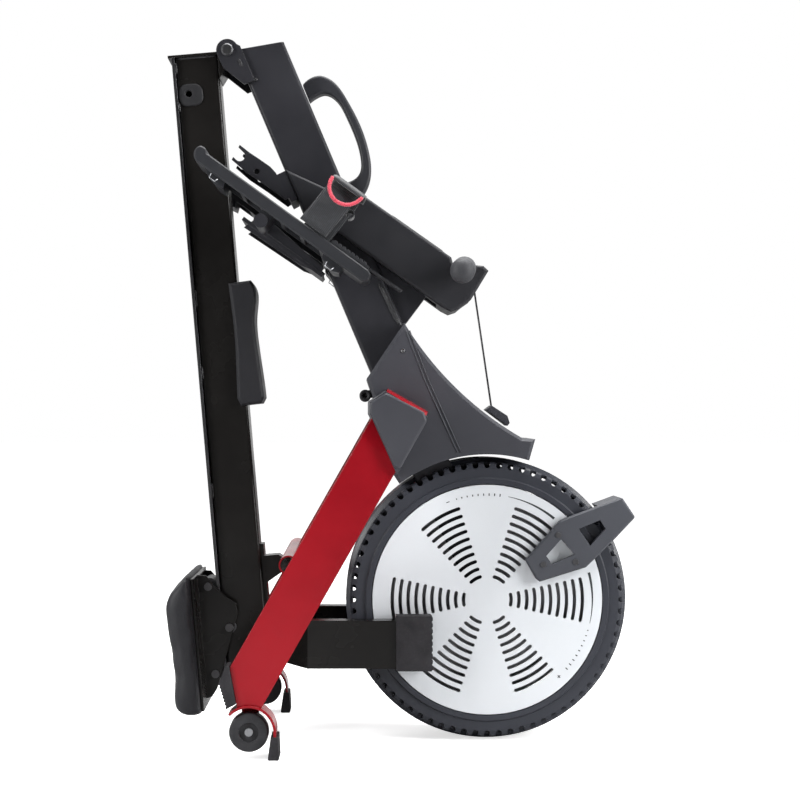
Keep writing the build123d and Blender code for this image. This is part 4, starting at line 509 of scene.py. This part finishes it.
def turned(bm, centre, axis, profile):
    """Solid of revolution: profile is (radius, distance along the axis) from base to tip."""
    axis = axis.normalized()
    hint = Vector((0, 0, 1)) if abs(axis.z) < 0.9 else Vector((1, 0, 0))
    side = axis.cross(hint).normalized()
    up = axis.cross(side).normalized()
    rings = []
    for radius, distance in profile:
        ring = []
        for i in range(TURNED_SIDES):
            angle = 2 * math.pi * i / TURNED_SIDES
            outward = side * math.cos(angle) + up * math.sin(angle)
            ring.append(bm.verts.new(centre + axis * distance + outward * radius))
        rings.append(ring)
    skin(bm, rings)


def pan_screw(bm, centre, axis, radius):
    """Pan head with a cross recess drawn as a dished middle."""
    head = [(radius, 0), (radius, radius * 0.3), (radius * 0.9, radius * 0.5)]
    head += [(radius * 0.6, radius * 0.62)]
    recess = [(radius * 0.34, radius * 0.62), (radius * 0.3, radius * 0.3)]
    recess += [(radius * 0.05, radius * 0.28)]
    turned(bm, centre, axis, head + recess)


BEAD_STEP = 0.0012
BEAD_RIPPLE = 0.0024
BEAD_SIDES = 10
BEAD_FLATNESS = 0.7


def weld_bead(bm, start, end, radius, seed):
    """A run of overlapping ripples, as a welder lays them."""
    rng = random.Random(seed)
    length = (end - start).length
    steps = max(8, int(length / BEAD_STEP))
    points, sizes = [], []
    side = (end - start).normalized().cross(Vector((0, 1, 0))).normalized()
    for i in range(steps + 1):
        t = i / steps
        wobble = rng.uniform(-0.12, 0.12) * radius
        points.append(start.lerp(end, t) + side * wobble)
        wave = abs(math.sin(t * length / BEAD_RIPPLE * math.pi))
        ripple = 0.8 + 0.2 * wave + rng.uniform(-0.07, 0.07)
        taper = min(1.0, 0.35 + 6 * min(t, 1 - t))
        sizes.append(radius * ripple * taper)
    rings = []
    up = Vector((0, 1, 0))
    for point, size in zip(points, sizes):
        ring = []
        for k in range(BEAD_SIDES):
            angle = 2 * math.pi * k / BEAD_SIDES
            across = side * math.cos(angle) * size
            raised = up * math.sin(angle) * size * BEAD_FLATNESS
            ring.append(bm.verts.new(point + across + raised))
        rings.append(ring)
    skin(bm, rings)


# ---------------------------------------------------------------- camera
camera_data = bpy.data.cameras.new("camera")
camera = bpy.data.objects.new("camera", camera_data)
scene.collection.objects.link(camera)
camera.location = (-0.0655, -2.96, 0.523)
camera.rotation_euler = (math.radians(90), 0, 0)
camera_data.lens = 80.73
camera_data.sensor_width = 36.0
camera_data.shift_x = 0.0488
camera_data.shift_y = 0.0188
scene.camera = camera

# ---------------------------------------------------------------- seat cushion
CUSHION_ROWS = 30
CUSHION_COLUMNS = 26
CUSHION_BASE = -0.1262
CUSHION_TOP_ALONG = 0.834
CUSHION_LOW_ALONG = 1.0665
CUSHION_HALF = 0.1495
CUSHION_LEVELS = 5
PUFF_CAP = 0.004
PUFF_VOXEL = 0.0055
PUFF_FRAMES = 18
# thickness of the cushion at shares of its length, read as a line between the points
SADDLE = [
    (0.0, 0.012), (0.045, 0.024), (0.1, 0.032), (0.18, 0.037), (0.35, 0.037), (0.55, 0.0345),
    (0.75, 0.0335), (0.9, 0.0365), (1.0, 0.037),
]


def saddle_height(t):
    """Thickness of the cushion at a share of its length."""
    for (t0, h0), (t1, h1) in zip(SADDLE, SADDLE[1:]):
        if t <= t1:
            return h0 + (h1 - h0) * (t - t0) / (t1 - t0)
    return SADDLE[-1][1]


def cushion_mesh():
    """Closed crowned pad: flat underneath, sides that lean in, lip at both ends."""
    bm = bmesh.new()
    grids = []
    middle = (CUSHION_TOP_ALONG + CUSHION_LOW_ALONG) / 2
    half_along = (CUSHION_LOW_ALONG - CUSHION_TOP_ALONG) / 2
    for level in range(CUSHION_LEVELS + 1):
        share = level / CUSHION_LEVELS
        inset = 0.004 * share ** 2.2 + (0.007 * max(0.0, share - 0.72) / 0.28)
        grid = []
        for i in range(CUSHION_ROWS + 1):
            t = i / CUSHION_ROWS
            row = []
            for j in range(CUSHION_COLUMNS + 1):
                v = j / CUSHION_COLUMNS * 2 - 1
                along = CUSHION_TOP_ALONG + (CUSHION_LOW_ALONG - CUSHION_TOP_ALONG) * t
                corner = 1 - 0.055 * (abs(v) ** 6) * (abs(2 * t - 1) ** 6)
                along = middle + (along - middle) * (half_along - inset) / half_along * corner
                y = v * (CUSHION_HALF - inset) * corner
                dish = 0.0035 * (1 - v * v) * math.sin(math.pi * t)
                height = (saddle_height(t) - dish) * share
                row.append(bm.verts.new(rail_point(CUSHION_BASE - height, along, y)))
            grid.append(row)
        grids.append(grid)

    def face(*corners):
        bm.faces.new(corners)

    for i in range(CUSHION_ROWS):
        for j in range(CUSHION_COLUMNS):
            a, b = grids[0], grids[-1]
            face(a[i][j], a[i][j + 1], a[i + 1][j + 1], a[i + 1][j])
            face(b[i][j], b[i + 1][j], b[i + 1][j + 1], b[i][j + 1])
    for low, high in zip(grids, grids[1:]):
        for i in range(CUSHION_ROWS):
            for j in (0, CUSHION_COLUMNS):
                face(low[i][j], low[i + 1][j], high[i + 1][j], high[i][j])
        for j in range(CUSHION_COLUMNS):
            for i in (0, CUSHION_ROWS):
                face(low[i][j], low[i][j + 1], high[i][j + 1], high[i][j])
    for grid in grids[1:-1]:
        for i in range(1, CUSHION_ROWS):
            for j in range(1, CUSHION_COLUMNS):
                bm.verts.remove(grid[i][j])
    bmesh.ops.recalc_face_normals(bm, faces=bm.faces[:])
    mesh = bpy.data.meshes.new("seat_pad")
    bm.to_mesh(mesh)
    bm.free()
    return mesh


def puffed(obj, cap, plane_point, plane_normal):
    """Swells a pad with cloth pressure, caps how far it moves, and keeps its underside flat."""
    view_layer = bpy.context.view_layer
    view_layer.objects.active = obj
    obj.select_set(True)
    remesh = obj.modifiers.new("remesh", "REMESH")
    remesh.mode = "VOXEL"
    remesh.voxel_size = PUFF_VOXEL
    bpy.ops.object.modifier_apply(modifier=remesh.name)
    rest = [v.co.copy() for v in obj.data.vertices]
    cloth = obj.modifiers.new("cloth", "CLOTH")
    settings = cloth.settings
    settings.quality = 5
    settings.mass = 0.3
    settings.use_pressure = True
    settings.uniform_pressure_force = 4.0
    settings.effector_weights.gravity = 0.0
    cloth.collision_settings.use_collision = False
    for number in range(1, PUFF_FRAMES + 1):
        scene.frame_set(number)
    evaluated = obj.evaluated_get(bpy.context.evaluated_depsgraph_get())
    swollen = [v.co.copy() for v in evaluated.data.vertices]
    obj.modifiers.remove(cloth)
    scene.frame_set(1)
    for vertex, start, end in zip(obj.data.vertices, rest, swollen):
        move = end - start
        if move.length > cap:
            move *= cap / move.length
        vertex.co = start + move
    for vertex in obj.data.vertices:
        depth = (vertex.co - plane_point).dot(plane_normal)
        if depth < 0:
            vertex.co -= plane_normal * depth
    smooth = obj.modifiers.new("smooth", "SMOOTH")
    smooth.factor = 0.5
    smooth.iterations = 3
    bpy.ops.object.modifier_apply(modifier=smooth.name)
    obj.select_set(False)


seat_pad = bpy.data.objects.new("seat_pad", cushion_mesh())
scene.collection.objects.link(seat_pad)
seat_pad.data.materials.append(MATERIAL["vinyl"])
RAIL_OUT = (rail_point(-0.2, 0.95, 0) - rail_point(-0.1, 0.95, 0)).normalized()
puffed(seat_pad, PUFF_CAP, rail_point(CUSHION_BASE, 0.95, 0), RAIL_OUT)
subdivision = seat_pad.modifiers.new("subdivision", "SUBSURF")
subdivision.levels = 1
subdivision.render_levels = 1
for polygon in seat_pad.data.polygons:
    polygon.use_smooth = True
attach(seat_pad, "seat")
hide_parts("seat_cushion")

# ---------------------------------------------------------------- pedal straps with their pull loops
STRAP_LOW = 0.024
STRAP_HIGH = 0.074
STRAP_OUTER = 0.1785
STRAP_INNER = 0.0675
STRAP_SHOULDER = 0.074
STRAP_CROWN = 0.1
STRAP_THICK = 0.0022
STRAP_FOOT_UP = 0.0125
STRAP_SIDE_STEPS = 8
STRAP_ARCH_STEPS = 18
STRAP_SKEW = 0.06
TAB_LOW = 0.0275
TAB_HIGH = 0.0845
TAB_THICK = 0.0042
TAB_LIFT = 0.0042
TAB_FROM = 0.09
BAND_COLUMNS = 8
LOOP_STEPS = 32
LOOP_STRANDS = 3
LOOP_PITCH = 4.4
LOOP_OFFSET = 0.0013
STRAND_RADIUS = 0.0021
CURL_STEPS = 25
CURL_MIDDLE = (0.0805, 0.066)
CURL_ROWS_Y = (0.118, 0.128, 0.138, 0.148, 0.158)
BAIL_OUTER = 0.1775
BAIL_INNER = 0.172
BAIL_WIRE = 0.0009


def strap_arch(crown, shoulder, foot, outer, inner):
    """(y, t) line of a strap: up the outer side, over the foot, down the inner side."""
    sides = range(STRAP_SIDE_STEPS + 1)
    line = [(outer, foot + (shoulder - foot) * i / STRAP_SIDE_STEPS) for i in sides]
    middle, half = (outer + inner) / 2, (outer - inner) / 2
    for i in range(1, STRAP_ARCH_STEPS):
        angle = math.pi * i / STRAP_ARCH_STEPS
        bulge = abs(math.sin(angle)) ** 0.75
        y = middle + half * math.cos(angle)
        line.append((y, shoulder + (crown - shoulder) * bulge))
    line += [(inner, shoulder - (shoulder - foot) * i / STRAP_SIDE_STEPS) for i in sides]
    return line


def band(bm, line, side, s_low, s_high, thickness, skew=0.0):
    """Flat webbing along a (y, t) line in pedal coordinates, with rolled selvedges."""
    rows = []
    for i, (y, t) in enumerate(line):
        y0, t0 = line[max(i - 1, 0)]
        y1, t1 = line[min(i + 1, len(line) - 1)]
        length = math.hypot(y1 - y0, t1 - t0)
        normal_y, normal_t = (t1 - t0) / length, -(y1 - y0) / length
        shift = skew * (t - line[0][1])
        outer_row, inner_row = [], []
        for j in range(BAND_COLUMNS + 1):
            share = j / BAND_COLUMNS
            s = s_low + (s_high - s_low) * share + shift
            edge = 1 - 0.35 * (abs(2 * share - 1) ** 8)
            half = thickness / 2 * edge
            for row, reach in ((outer_row, half), (inner_row, -half)):
                point = pedal_point(s, t + normal_t * reach, side * (y + normal_y * reach))
                row.append(bm.verts.new(point))
        rows.append((outer_row, inner_row))
    last = BAND_COLUMNS
    for (outer, inner), (next_outer, next_inner) in zip(rows, rows[1:]):
        for j in range(BAND_COLUMNS):
            bm.faces.new((outer[j], outer[j + 1], next_outer[j + 1], next_outer[j]))
            bm.faces.new((inner[j], next_inner[j], next_inner[j + 1], inner[j + 1]))
        bm.faces.new((outer[0], next_outer[0], next_inner[0], inner[0]))
        bm.faces.new((outer[last], inner[last], next_inner[last], next_outer[last]))
    for outer, inner in (rows[0], rows[-1]):
        for j in range(BAND_COLUMNS):
            bm.faces.new((outer[j], inner[j], inner[j + 1], outer[j + 1]))


for side_name, side in (("right", RIGHT), ("left", LEFT)):
    body = f"pedal_{side_name}"
    lower_line = strap_arch(
        STRAP_CROWN, STRAP_SHOULDER, STRAP_FOOT_UP, STRAP_OUTER, STRAP_INNER
    )
    bm = bmesh.new()
    band(bm, lower_line, side, STRAP_LOW, STRAP_HIGH, STRAP_THICK, skew=STRAP_SKEW)
    lower = new_object(f"pedal_webbing_{side_name}", body, "webbing", bm)
    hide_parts(f"pedal_strap_{side_name}")

    tab_line = [(y, t + TAB_LIFT) for y, t in lower_line if t > TAB_FROM]
    start_y, start_t = tab_line[0]
    overhang = [(start_y + 0.024, start_t - 0.004), (start_y + 0.014, start_t + 0.0005)]
    tab_line = overhang + tab_line
    bm = bmesh.new()
    band(bm, tab_line, side, TAB_LOW, TAB_HIGH, TAB_THICK)
    tab = new_object(f"strap_tab_{side_name}", body, "webbing", bm)

    loop_middle = (TAB_LOW + TAB_HIGH) / 2
    loop_radius = (TAB_HIGH - TAB_LOW) / 2 - 0.001
    loop_points = []
    for i in range(LOOP_STEPS + 1):
        angle = math.pi * i / LOOP_STEPS
        drop = math.sin(angle) * loop_radius * 1.02
        s = loop_middle - math.cos(angle) * loop_radius
        y = side * (start_y + 0.0225 + 0.006 * math.sin(angle))
        loop_points.append(pedal_point(s, start_t - 0.003 - drop, y))
    bm = bmesh.new()
    for strand in range(LOOP_STRANDS):
        twisted = []
        for i, point in enumerate(loop_points):
            before = loop_points[max(i - 1, 0)]
            after = loop_points[min(i + 1, len(loop_points) - 1)]
            tangent = (after - before).normalized()
            flat = Vector((0, 1, 0))
            other = tangent.cross(flat).normalized()
            turn = 2 * math.pi * (strand / LOOP_STRANDS + i / LOOP_PITCH)
            outward = flat * math.cos(turn) + other * math.sin(turn)
            twisted.append(point + outward * LOOP_OFFSET)
        sweep(bm, twisted, circle_section(STRAND_RADIUS, 8))
    new_object(f"pull_loop_{side_name}", body, "braid", bm)

    curl = []
    for i in range(CURL_STEPS + 1):
        angle = math.radians(-70 + 300 * i / CURL_STEPS)
        radius = 0.0085 - 0.003 * i / CURL_STEPS
        s = CURL_MIDDLE[0] + radius * math.cos(angle)
        curl.append((s, CURL_MIDDLE[1] + radius * math.sin(angle)))
    bm = bmesh.new()
    rows = []
    for s, t in curl:
        rows.append([bm.verts.new(pedal_point(s, t, side * y)) for y in CURL_ROWS_Y])
    for a, b in zip(rows, rows[1:]):
        for j in range(len(CURL_ROWS_Y) - 1):
            bm.faces.new((a[j], a[j + 1], b[j + 1], b[j]))
    curled = new_object(f"strap_end_{side_name}", body, "webbing", bm)
    solid = curled.modifiers.new("thickness", "SOLIDIFY")
    solid.thickness = 0.0018

    bm = bmesh.new()
    for s, t, reach in ((-0.122, -0.0155, 0.0065), (0.104, -0.0215, 0.007)):
        bail = [(s - reach, t + 0.003), (s - reach * 0.8, t - 0.003)]
        bail += [(s + reach * 0.8, t - 0.0035), (s + reach, t + 0.002)]
        wire = [pedal_point(a, b, side * BAIL_OUTER) for a, b in bail]
        first, last = (pedal_point(a, b + 0.001, side * BAIL_INNER) for a, b in (bail[0], bail[-1]))
        sweep(bm, [first, *wire, last], circle_section(BAIL_WIRE, 10))
    new_object(f"strap_bails_{side_name}", body, "bolt", bm)

# ---------------------------------------------------------------- pull strap
STRAP_STEPS = 140
STRAP_COLUMNS = 6
STRAP_WIDE = 0.0125
PULL_THICKNESS = (0.0013, 0, 0.0002)
bm = bmesh.new()
rows = []
for i in range(STRAP_STEPS + 1):
    t = i / STRAP_STEPS
    x = STRAP_FOOT[0] + (STRAP_TOP[0] - STRAP_FOOT[0]) * t
    z = STRAP_FOOT[1] + (STRAP_TOP[1] - STRAP_FOOT[1]) * t
    across = [-STRAP_WIDE + STRAP_WIDE * 2 * j / STRAP_COLUMNS for j in range(STRAP_COLUMNS + 1)]
    rows.append([bm.verts.new((x, y, z)) for y in across])
for a, b in zip(rows, rows[1:]):
    for j in range(STRAP_COLUMNS):
        bm.faces.new((a[j], a[j + 1], b[j + 1], b[j]))
thicken(bm, PULL_THICKNESS)
pull = new_object("pull_webbing", None, "pull_webbing", bm)
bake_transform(pull)
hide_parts("pull_strap")

# ---------------------------------------------------------------- weld beads
SPINE_SIDE = 0.0386
PLATE_SIDE = 0.0442
POST_SIDE = 0.0385
RAIL_SIDE = 0.0325
RAIL_LEG_SIDE = 0.034
RAIL_FRONT = -0.0865
# start and end along the rail's front corner, with the seed of the bead's ripple
RAIL_BEADS = [
    (0.012, 0.030, 11), (0.076, 0.092, 12), (0.383, 0.412, 13), (0.508, 0.530, 14),
    (0.70, 0.725, 15),
]
bm = bmesh.new()
for side in (RIGHT, LEFT):
    plate_top = spine_point(0.0115, 0.020, side * PLATE_SIDE)
    plate_low = spine_point(0.0115, 0.060, side * SPINE_SIDE)
    weld_bead(bm, plate_top, plate_low, 0.0032, 3)
    hem_front = spine_point(0.006, 0.058, side * SPINE_SIDE)
    hem_back = spine_point(0.028, 0.0625, side * SPINE_SIDE)
    weld_bead(bm, hem_front, hem_back, 0.0028, 5)
    post_top = Vector((-0.0365, side * POST_SIDE, 0.738))
    post_low = Vector((-0.0045, side * POST_SIDE, 0.6705))
    weld_bead(bm, post_top, post_low, 0.0032, 7)
new_object("spine_welds", "front_frame", "weld", bm)
bm = bmesh.new()
for side in (RIGHT, LEFT):
    y = side * RAIL_SIDE
    for low, high, seed in RAIL_BEADS:
        weld_bead(bm, rail_point(RAIL_FRONT, low, y), rail_point(RAIL_FRONT, high, y), 0.0024, seed)
    weld_bead(bm, rail_point(-0.084, 0.0055, y), rail_point(-0.02, 0.0055, y), 0.0022, 21)
    y = side * RAIL_LEG_SIDE
    weld_bead(bm, rail_point(-0.0165, 0.958, y), rail_point(-0.0165, 0.99, y), 0.0026, 22)
new_object("rail_welds", "rail", "weld", bm)

# ---------------------------------------------------------------- shroud ridges, lugs and screws
RIDGE_LINE = [(0.0065, 0.6585), (0.022, 0.618), (0.0372, 0.578), (0.066, 0.514), (0.0888, 0.4635)]
RIDGE_PITCH = 0.0058
RIDGE_SIDE = 0.0862
RIDGE_RADIUS = 0.0011
SHROUD_SCREW = (0.0016, 0.0856, 0.6259)
CARRIAGE_SIDE = 0.0500
bm = bmesh.new()
for side in (RIGHT, LEFT):
    for shift in (0.0, RIDGE_PITCH):
        ridge = [Vector((x + shift, side * RIDGE_SIDE, z)) for x, z in RIDGE_LINE]
        sweep(bm, ridge, circle_section(RIDGE_RADIUS, 8))
new_object("shroud_ridges", "front_frame", "shroud_grey", bm)

bm = bmesh.new()
for side in (RIGHT, LEFT):
    x, y, z = SHROUD_SCREW
    head = [(0.0036, 0), (0.0036, 0.0012), (0.0024, 0.0016), (0.0022, 0.0006), (0.0002, 0.0005)]
    turned(bm, Vector((x, side * y, z)), Vector((0, side, 0)), head)
new_object("shroud_screws", "front_frame", "dark_bolt", bm)

bm = bmesh.new()
for side in (RIGHT, LEFT):
    for x, z in ((-0.3169, 0.2440), (-0.3023, 0.1029)):
        pan_screw(bm, Vector((x, side * CARRIAGE_SIDE, z)), Vector((0, side, 0)), 0.0028)
new_object("carriage_screws", "seat", "dark_bolt", bm)

bm = bmesh.new()
for side in (RIGHT, LEFT):
    centre = Vector((-0.0585, side * 0.062, 0.5545))
    lug = [(0.0095, 0), (0.0095, 0.008), (0.0085, 0.0095)]
    bore = [(0.0042, 0.0095), (0.0038, 0.003), (0.0002, 0.003)]
    turned(bm, centre, Vector((0, side, 0)), lug + bore)
    arm = [centre + Vector((0.002, side * 0.004, 0.002))]
    arm += [Vector((-0.047, side * 0.066, 0.558)), Vector((-0.036, side * 0.064, 0.557))]
    sweep(bm, arm, [(-0.006, -0.004), (0.006, -0.004), (0.006, 0.004), (-0.006, 0.004)])
new_object("leg_lugs", "front_frame", "plain_black", bm)

# ---------------------------------------------------------------- printed scale on the dial
PRINT_OUT = -0.08412
PRINT_RADIUS = 0.1685
PRINT_DEPTH = (0, 0.0001, 0)
ARC_STEPS = 28
ARC_THIN = 0.0006
ARC_THICK = 0.0042
STROKES = 9
STROKE_PITCH = 3.0
STROKE_WIDTH = 0.0017


def dial_point(radius, angle):
    """World place on the dial's printed face."""
    return Vector((
        FLYWHEEL[0] + radius * math.cos(angle), PRINT_OUT, FLYWHEEL[1] + radius * math.sin(angle)
    ))


def print_arc(bm, start, end, wide_start, wide_end):
    """Flat tapered arc laid on the disc's face."""
    outer, inner = [], []
    for i in range(ARC_STEPS + 1):
        share = i / ARC_STEPS
        angle = math.radians(start + (end - start) * share)
        half = (wide_start + (wide_end - wide_start) * share) / 2
        for line, radius in ((outer, PRINT_RADIUS + half), (inner, PRINT_RADIUS - half)):
            line.append(bm.verts.new(dial_point(radius, angle)))
    for i in range(ARC_STEPS):
        bm.faces.new((outer[i], outer[i + 1], inner[i + 1], inner[i]))


def print_bar(bm, angle, turn, length, width):
    """Short printed stroke at a place on the dial, turned from the radius by `turn` degrees."""
    centre = dial_point(PRINT_RADIUS, math.radians(angle))
    d = math.radians(angle + turn)
    along = Vector((math.cos(d), 0, math.sin(d))) * length / 2
    across = Vector((-math.sin(d), 0, math.cos(d))) * width / 2
    corners = [centre - along - across, centre + along - across]
    corners += [centre + along + across, centre - along + across]
    bm.faces.new([bm.verts.new(c) for c in corners])


bm = bmesh.new()
print_arc(bm, 78.5, 50.5, ARC_THIN, ARC_THICK)
print_arc(bm, 15.0, -13.0, ARC_THICK, ARC_THIN)
for k in range(STROKES):
    print_bar(bm, 83.0 + STROKE_PITCH * k, 0, 0.0046 - 0.0003 * k, STROKE_WIDTH)
    print_bar(bm, -17.0 - STROKE_PITCH * k, 0, 0.0022 + 0.0003 * k, STROKE_WIDTH)
# a minus at the upper end and a plus at the lower end
print_bar(bm, 112.0, 90, 0.0052, 0.0013)
print_bar(bm, -47.0, 90, 0.0056, 0.0014)
print_bar(bm, -47.0, 0, 0.0056, 0.0014)
bmesh.ops.recalc_face_normals(bm, faces=bm.faces[:])
thicken(bm, PRINT_DEPTH)
new_object("dial_scale", "resistance_dial", "print", bm, smooth=False)

# ---------------------------------------------------------------- marks on the console keys
ARM_TURN = math.radians(CONSOLE_LEAN)
CONSOLE_RIGHT = Vector((math.cos(ARM_TURN), 0, math.sin(ARM_TURN)))
CONSOLE_UP = Vector((-math.sin(ARM_TURN), 0, math.cos(ARM_TURN)))
MARK_HALF_LENGTH = 0.0028
MARK_HALF_WIDTH = 0.0005
MARK_DEPTH = 0.0002
KEY_CENTRE = Vector((0.026, 0, 0.8176)) + CONSOLE_RIGHT * 0.036 + CONSOLE_UP * 0.00345
for key_name, across, strokes in (("minus", 0.012, 1), ("plus", -0.012, 2)):
    bm = bmesh.new()
    centre = KEY_CENTRE + Vector((0, across, 0))
    for stroke in range(strokes):
        sides = (Vector((0, 1, 0)), CONSOLE_RIGHT)
        long_side, short_side = sides if stroke == 0 else sides[::-1]
        corners = [
            centre + long_side * a * MARK_HALF_LENGTH + short_side * b * MARK_HALF_WIDTH
            for a, b in ((-1, -1), (1, -1), (1, 1), (-1, 1))
        ]
        low = [bm.verts.new(c - CONSOLE_UP * MARK_DEPTH) for c in corners]
        high = [bm.verts.new(c) for c in corners]
        bm.faces.new(high)
        bm.faces.new(low[::-1])
        for i in range(4):
            j = (i + 1) % 4
            bm.faces.new((low[i], low[j], high[j], high[i]))
    new_object(f"key_mark_{key_name}", f"key_{key_name}", "white_print", bm, smooth=False)

# ---------------------------------------------------------------- floor, lights and surroundings
bm = bmesh.new()
bmesh.ops.create_grid(bm, x_segments=1, y_segments=1, size=30)
floor_mesh = bpy.data.meshes.new("floor")
bm.to_mesh(floor_mesh)
bm.free()
floor = bpy.data.objects.new("floor", floor_mesh)
scene.collection.objects.link(floor)
floor_shader = Shader("floor_white")
floor_drift = floor_shader.ramp(floor_shader.noise(3, 3), 0.3, 0.7)
floor_tone = floor_shader.mix(floor_drift, (0.93, 0.93, 0.93), (0.96, 0.96, 0.96))
floor_shader.set(Base_Color=floor_tone, Roughness=0.9, Specular_IOR_Level=0.1)
floor_shader.set(Emission_Color=(1.0, 1.0, 1.0), Emission_Strength=0.62)
bounced = floor_shader.tree.nodes.new("ShaderNodeBsdfDiffuse")
bounced.inputs["Color"].default_value = (0.5, 0.5, 0.5, 1)
# the camera sees a bright floor, while the object is lit by a duller one
floor_paths = floor_shader.tree.nodes.new("ShaderNodeLightPath")
floor_mix = floor_shader.tree.nodes.new("ShaderNodeMixShader")
floor_shader.link(floor_paths.outputs["Is Camera Ray"], floor_mix.inputs["Fac"])
floor_shader.link(bounced.outputs["BSDF"], floor_mix.inputs[1])
floor_shader.link(floor_shader.shader.outputs["BSDF"], floor_mix.inputs[2])
floor_shader.link(floor_mix.outputs["Shader"], floor_shader.output.inputs["Surface"])
floor_mesh.materials.append(floor_shader.material)
floor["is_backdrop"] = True

world = bpy.data.worlds.new("studio")
scene.world = world
world.use_nodes = True
tree = world.node_tree
tree.nodes.clear()
world_output = tree.nodes.new("ShaderNodeOutputWorld")
seen = tree.nodes.new("ShaderNodeBackground")
seen.inputs["Color"].default_value = (1, 1, 1, 1)
seen.inputs["Strength"].default_value = 1.0
lighting = tree.nodes.new("ShaderNodeBackground")
direction = tree.nodes.new("ShaderNodeTexCoord")
split = tree.nodes.new("ShaderNodeSeparateXYZ")
tree.links.new(direction.outputs["Generated"], split.inputs["Vector"])
back_share = tree.nodes.new("ShaderNodeMapRange")
# dark in front of the object and bright behind it, along world Y
for key, number in {"From Min": -0.7, "From Max": 0.6, "To Min": 0.05, "To Max": 1.0}.items():
    back_share.inputs[key].default_value = number
tree.links.new(split.outputs["Y"], back_share.inputs["Value"])
tree.links.new(back_share.outputs["Result"], lighting.inputs["Strength"])
paths = tree.nodes.new("ShaderNodeLightPath")
chooser = tree.nodes.new("ShaderNodeMixShader")
tree.links.new(paths.outputs["Is Camera Ray"], chooser.inputs["Fac"])
tree.links.new(lighting.outputs["Background"], chooser.inputs[1])
tree.links.new(seen.outputs["Background"], chooser.inputs[2])
tree.links.new(chooser.outputs["Shader"], world_output.inputs["Surface"])


def area_light(name, location, target, size, power):
    """Rectangular light aimed at a target and hidden from the camera."""
    data = bpy.data.lights.new(name, "AREA")
    data.shape = "RECTANGLE"
    data.size, data.size_y = size
    data.energy = power
    light = bpy.data.objects.new(name, data)
    scene.collection.objects.link(light)
    light.location = location
    aim = Vector(target) - Vector(location)
    light.rotation_euler = aim.to_track_quat("-Z", "Y").to_euler()
    light.visible_camera = False


area_light("overhead", (0.3, 0.2, 3.0), (0, 0, 0.5), (2.6, 2.2), 130)
area_light("right_bank", (2.9, -1.6, 1.5), (0, 0, 0.6), (1.0, 2.2), 138)
area_light("left_bank", (-2.9, -1.8, 1.4), (0, 0, 0.6), (0.8, 2.0), 96)

scene.view_settings.view_transform = "Standard"
scene.view_settings.look = "None"

low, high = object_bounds()
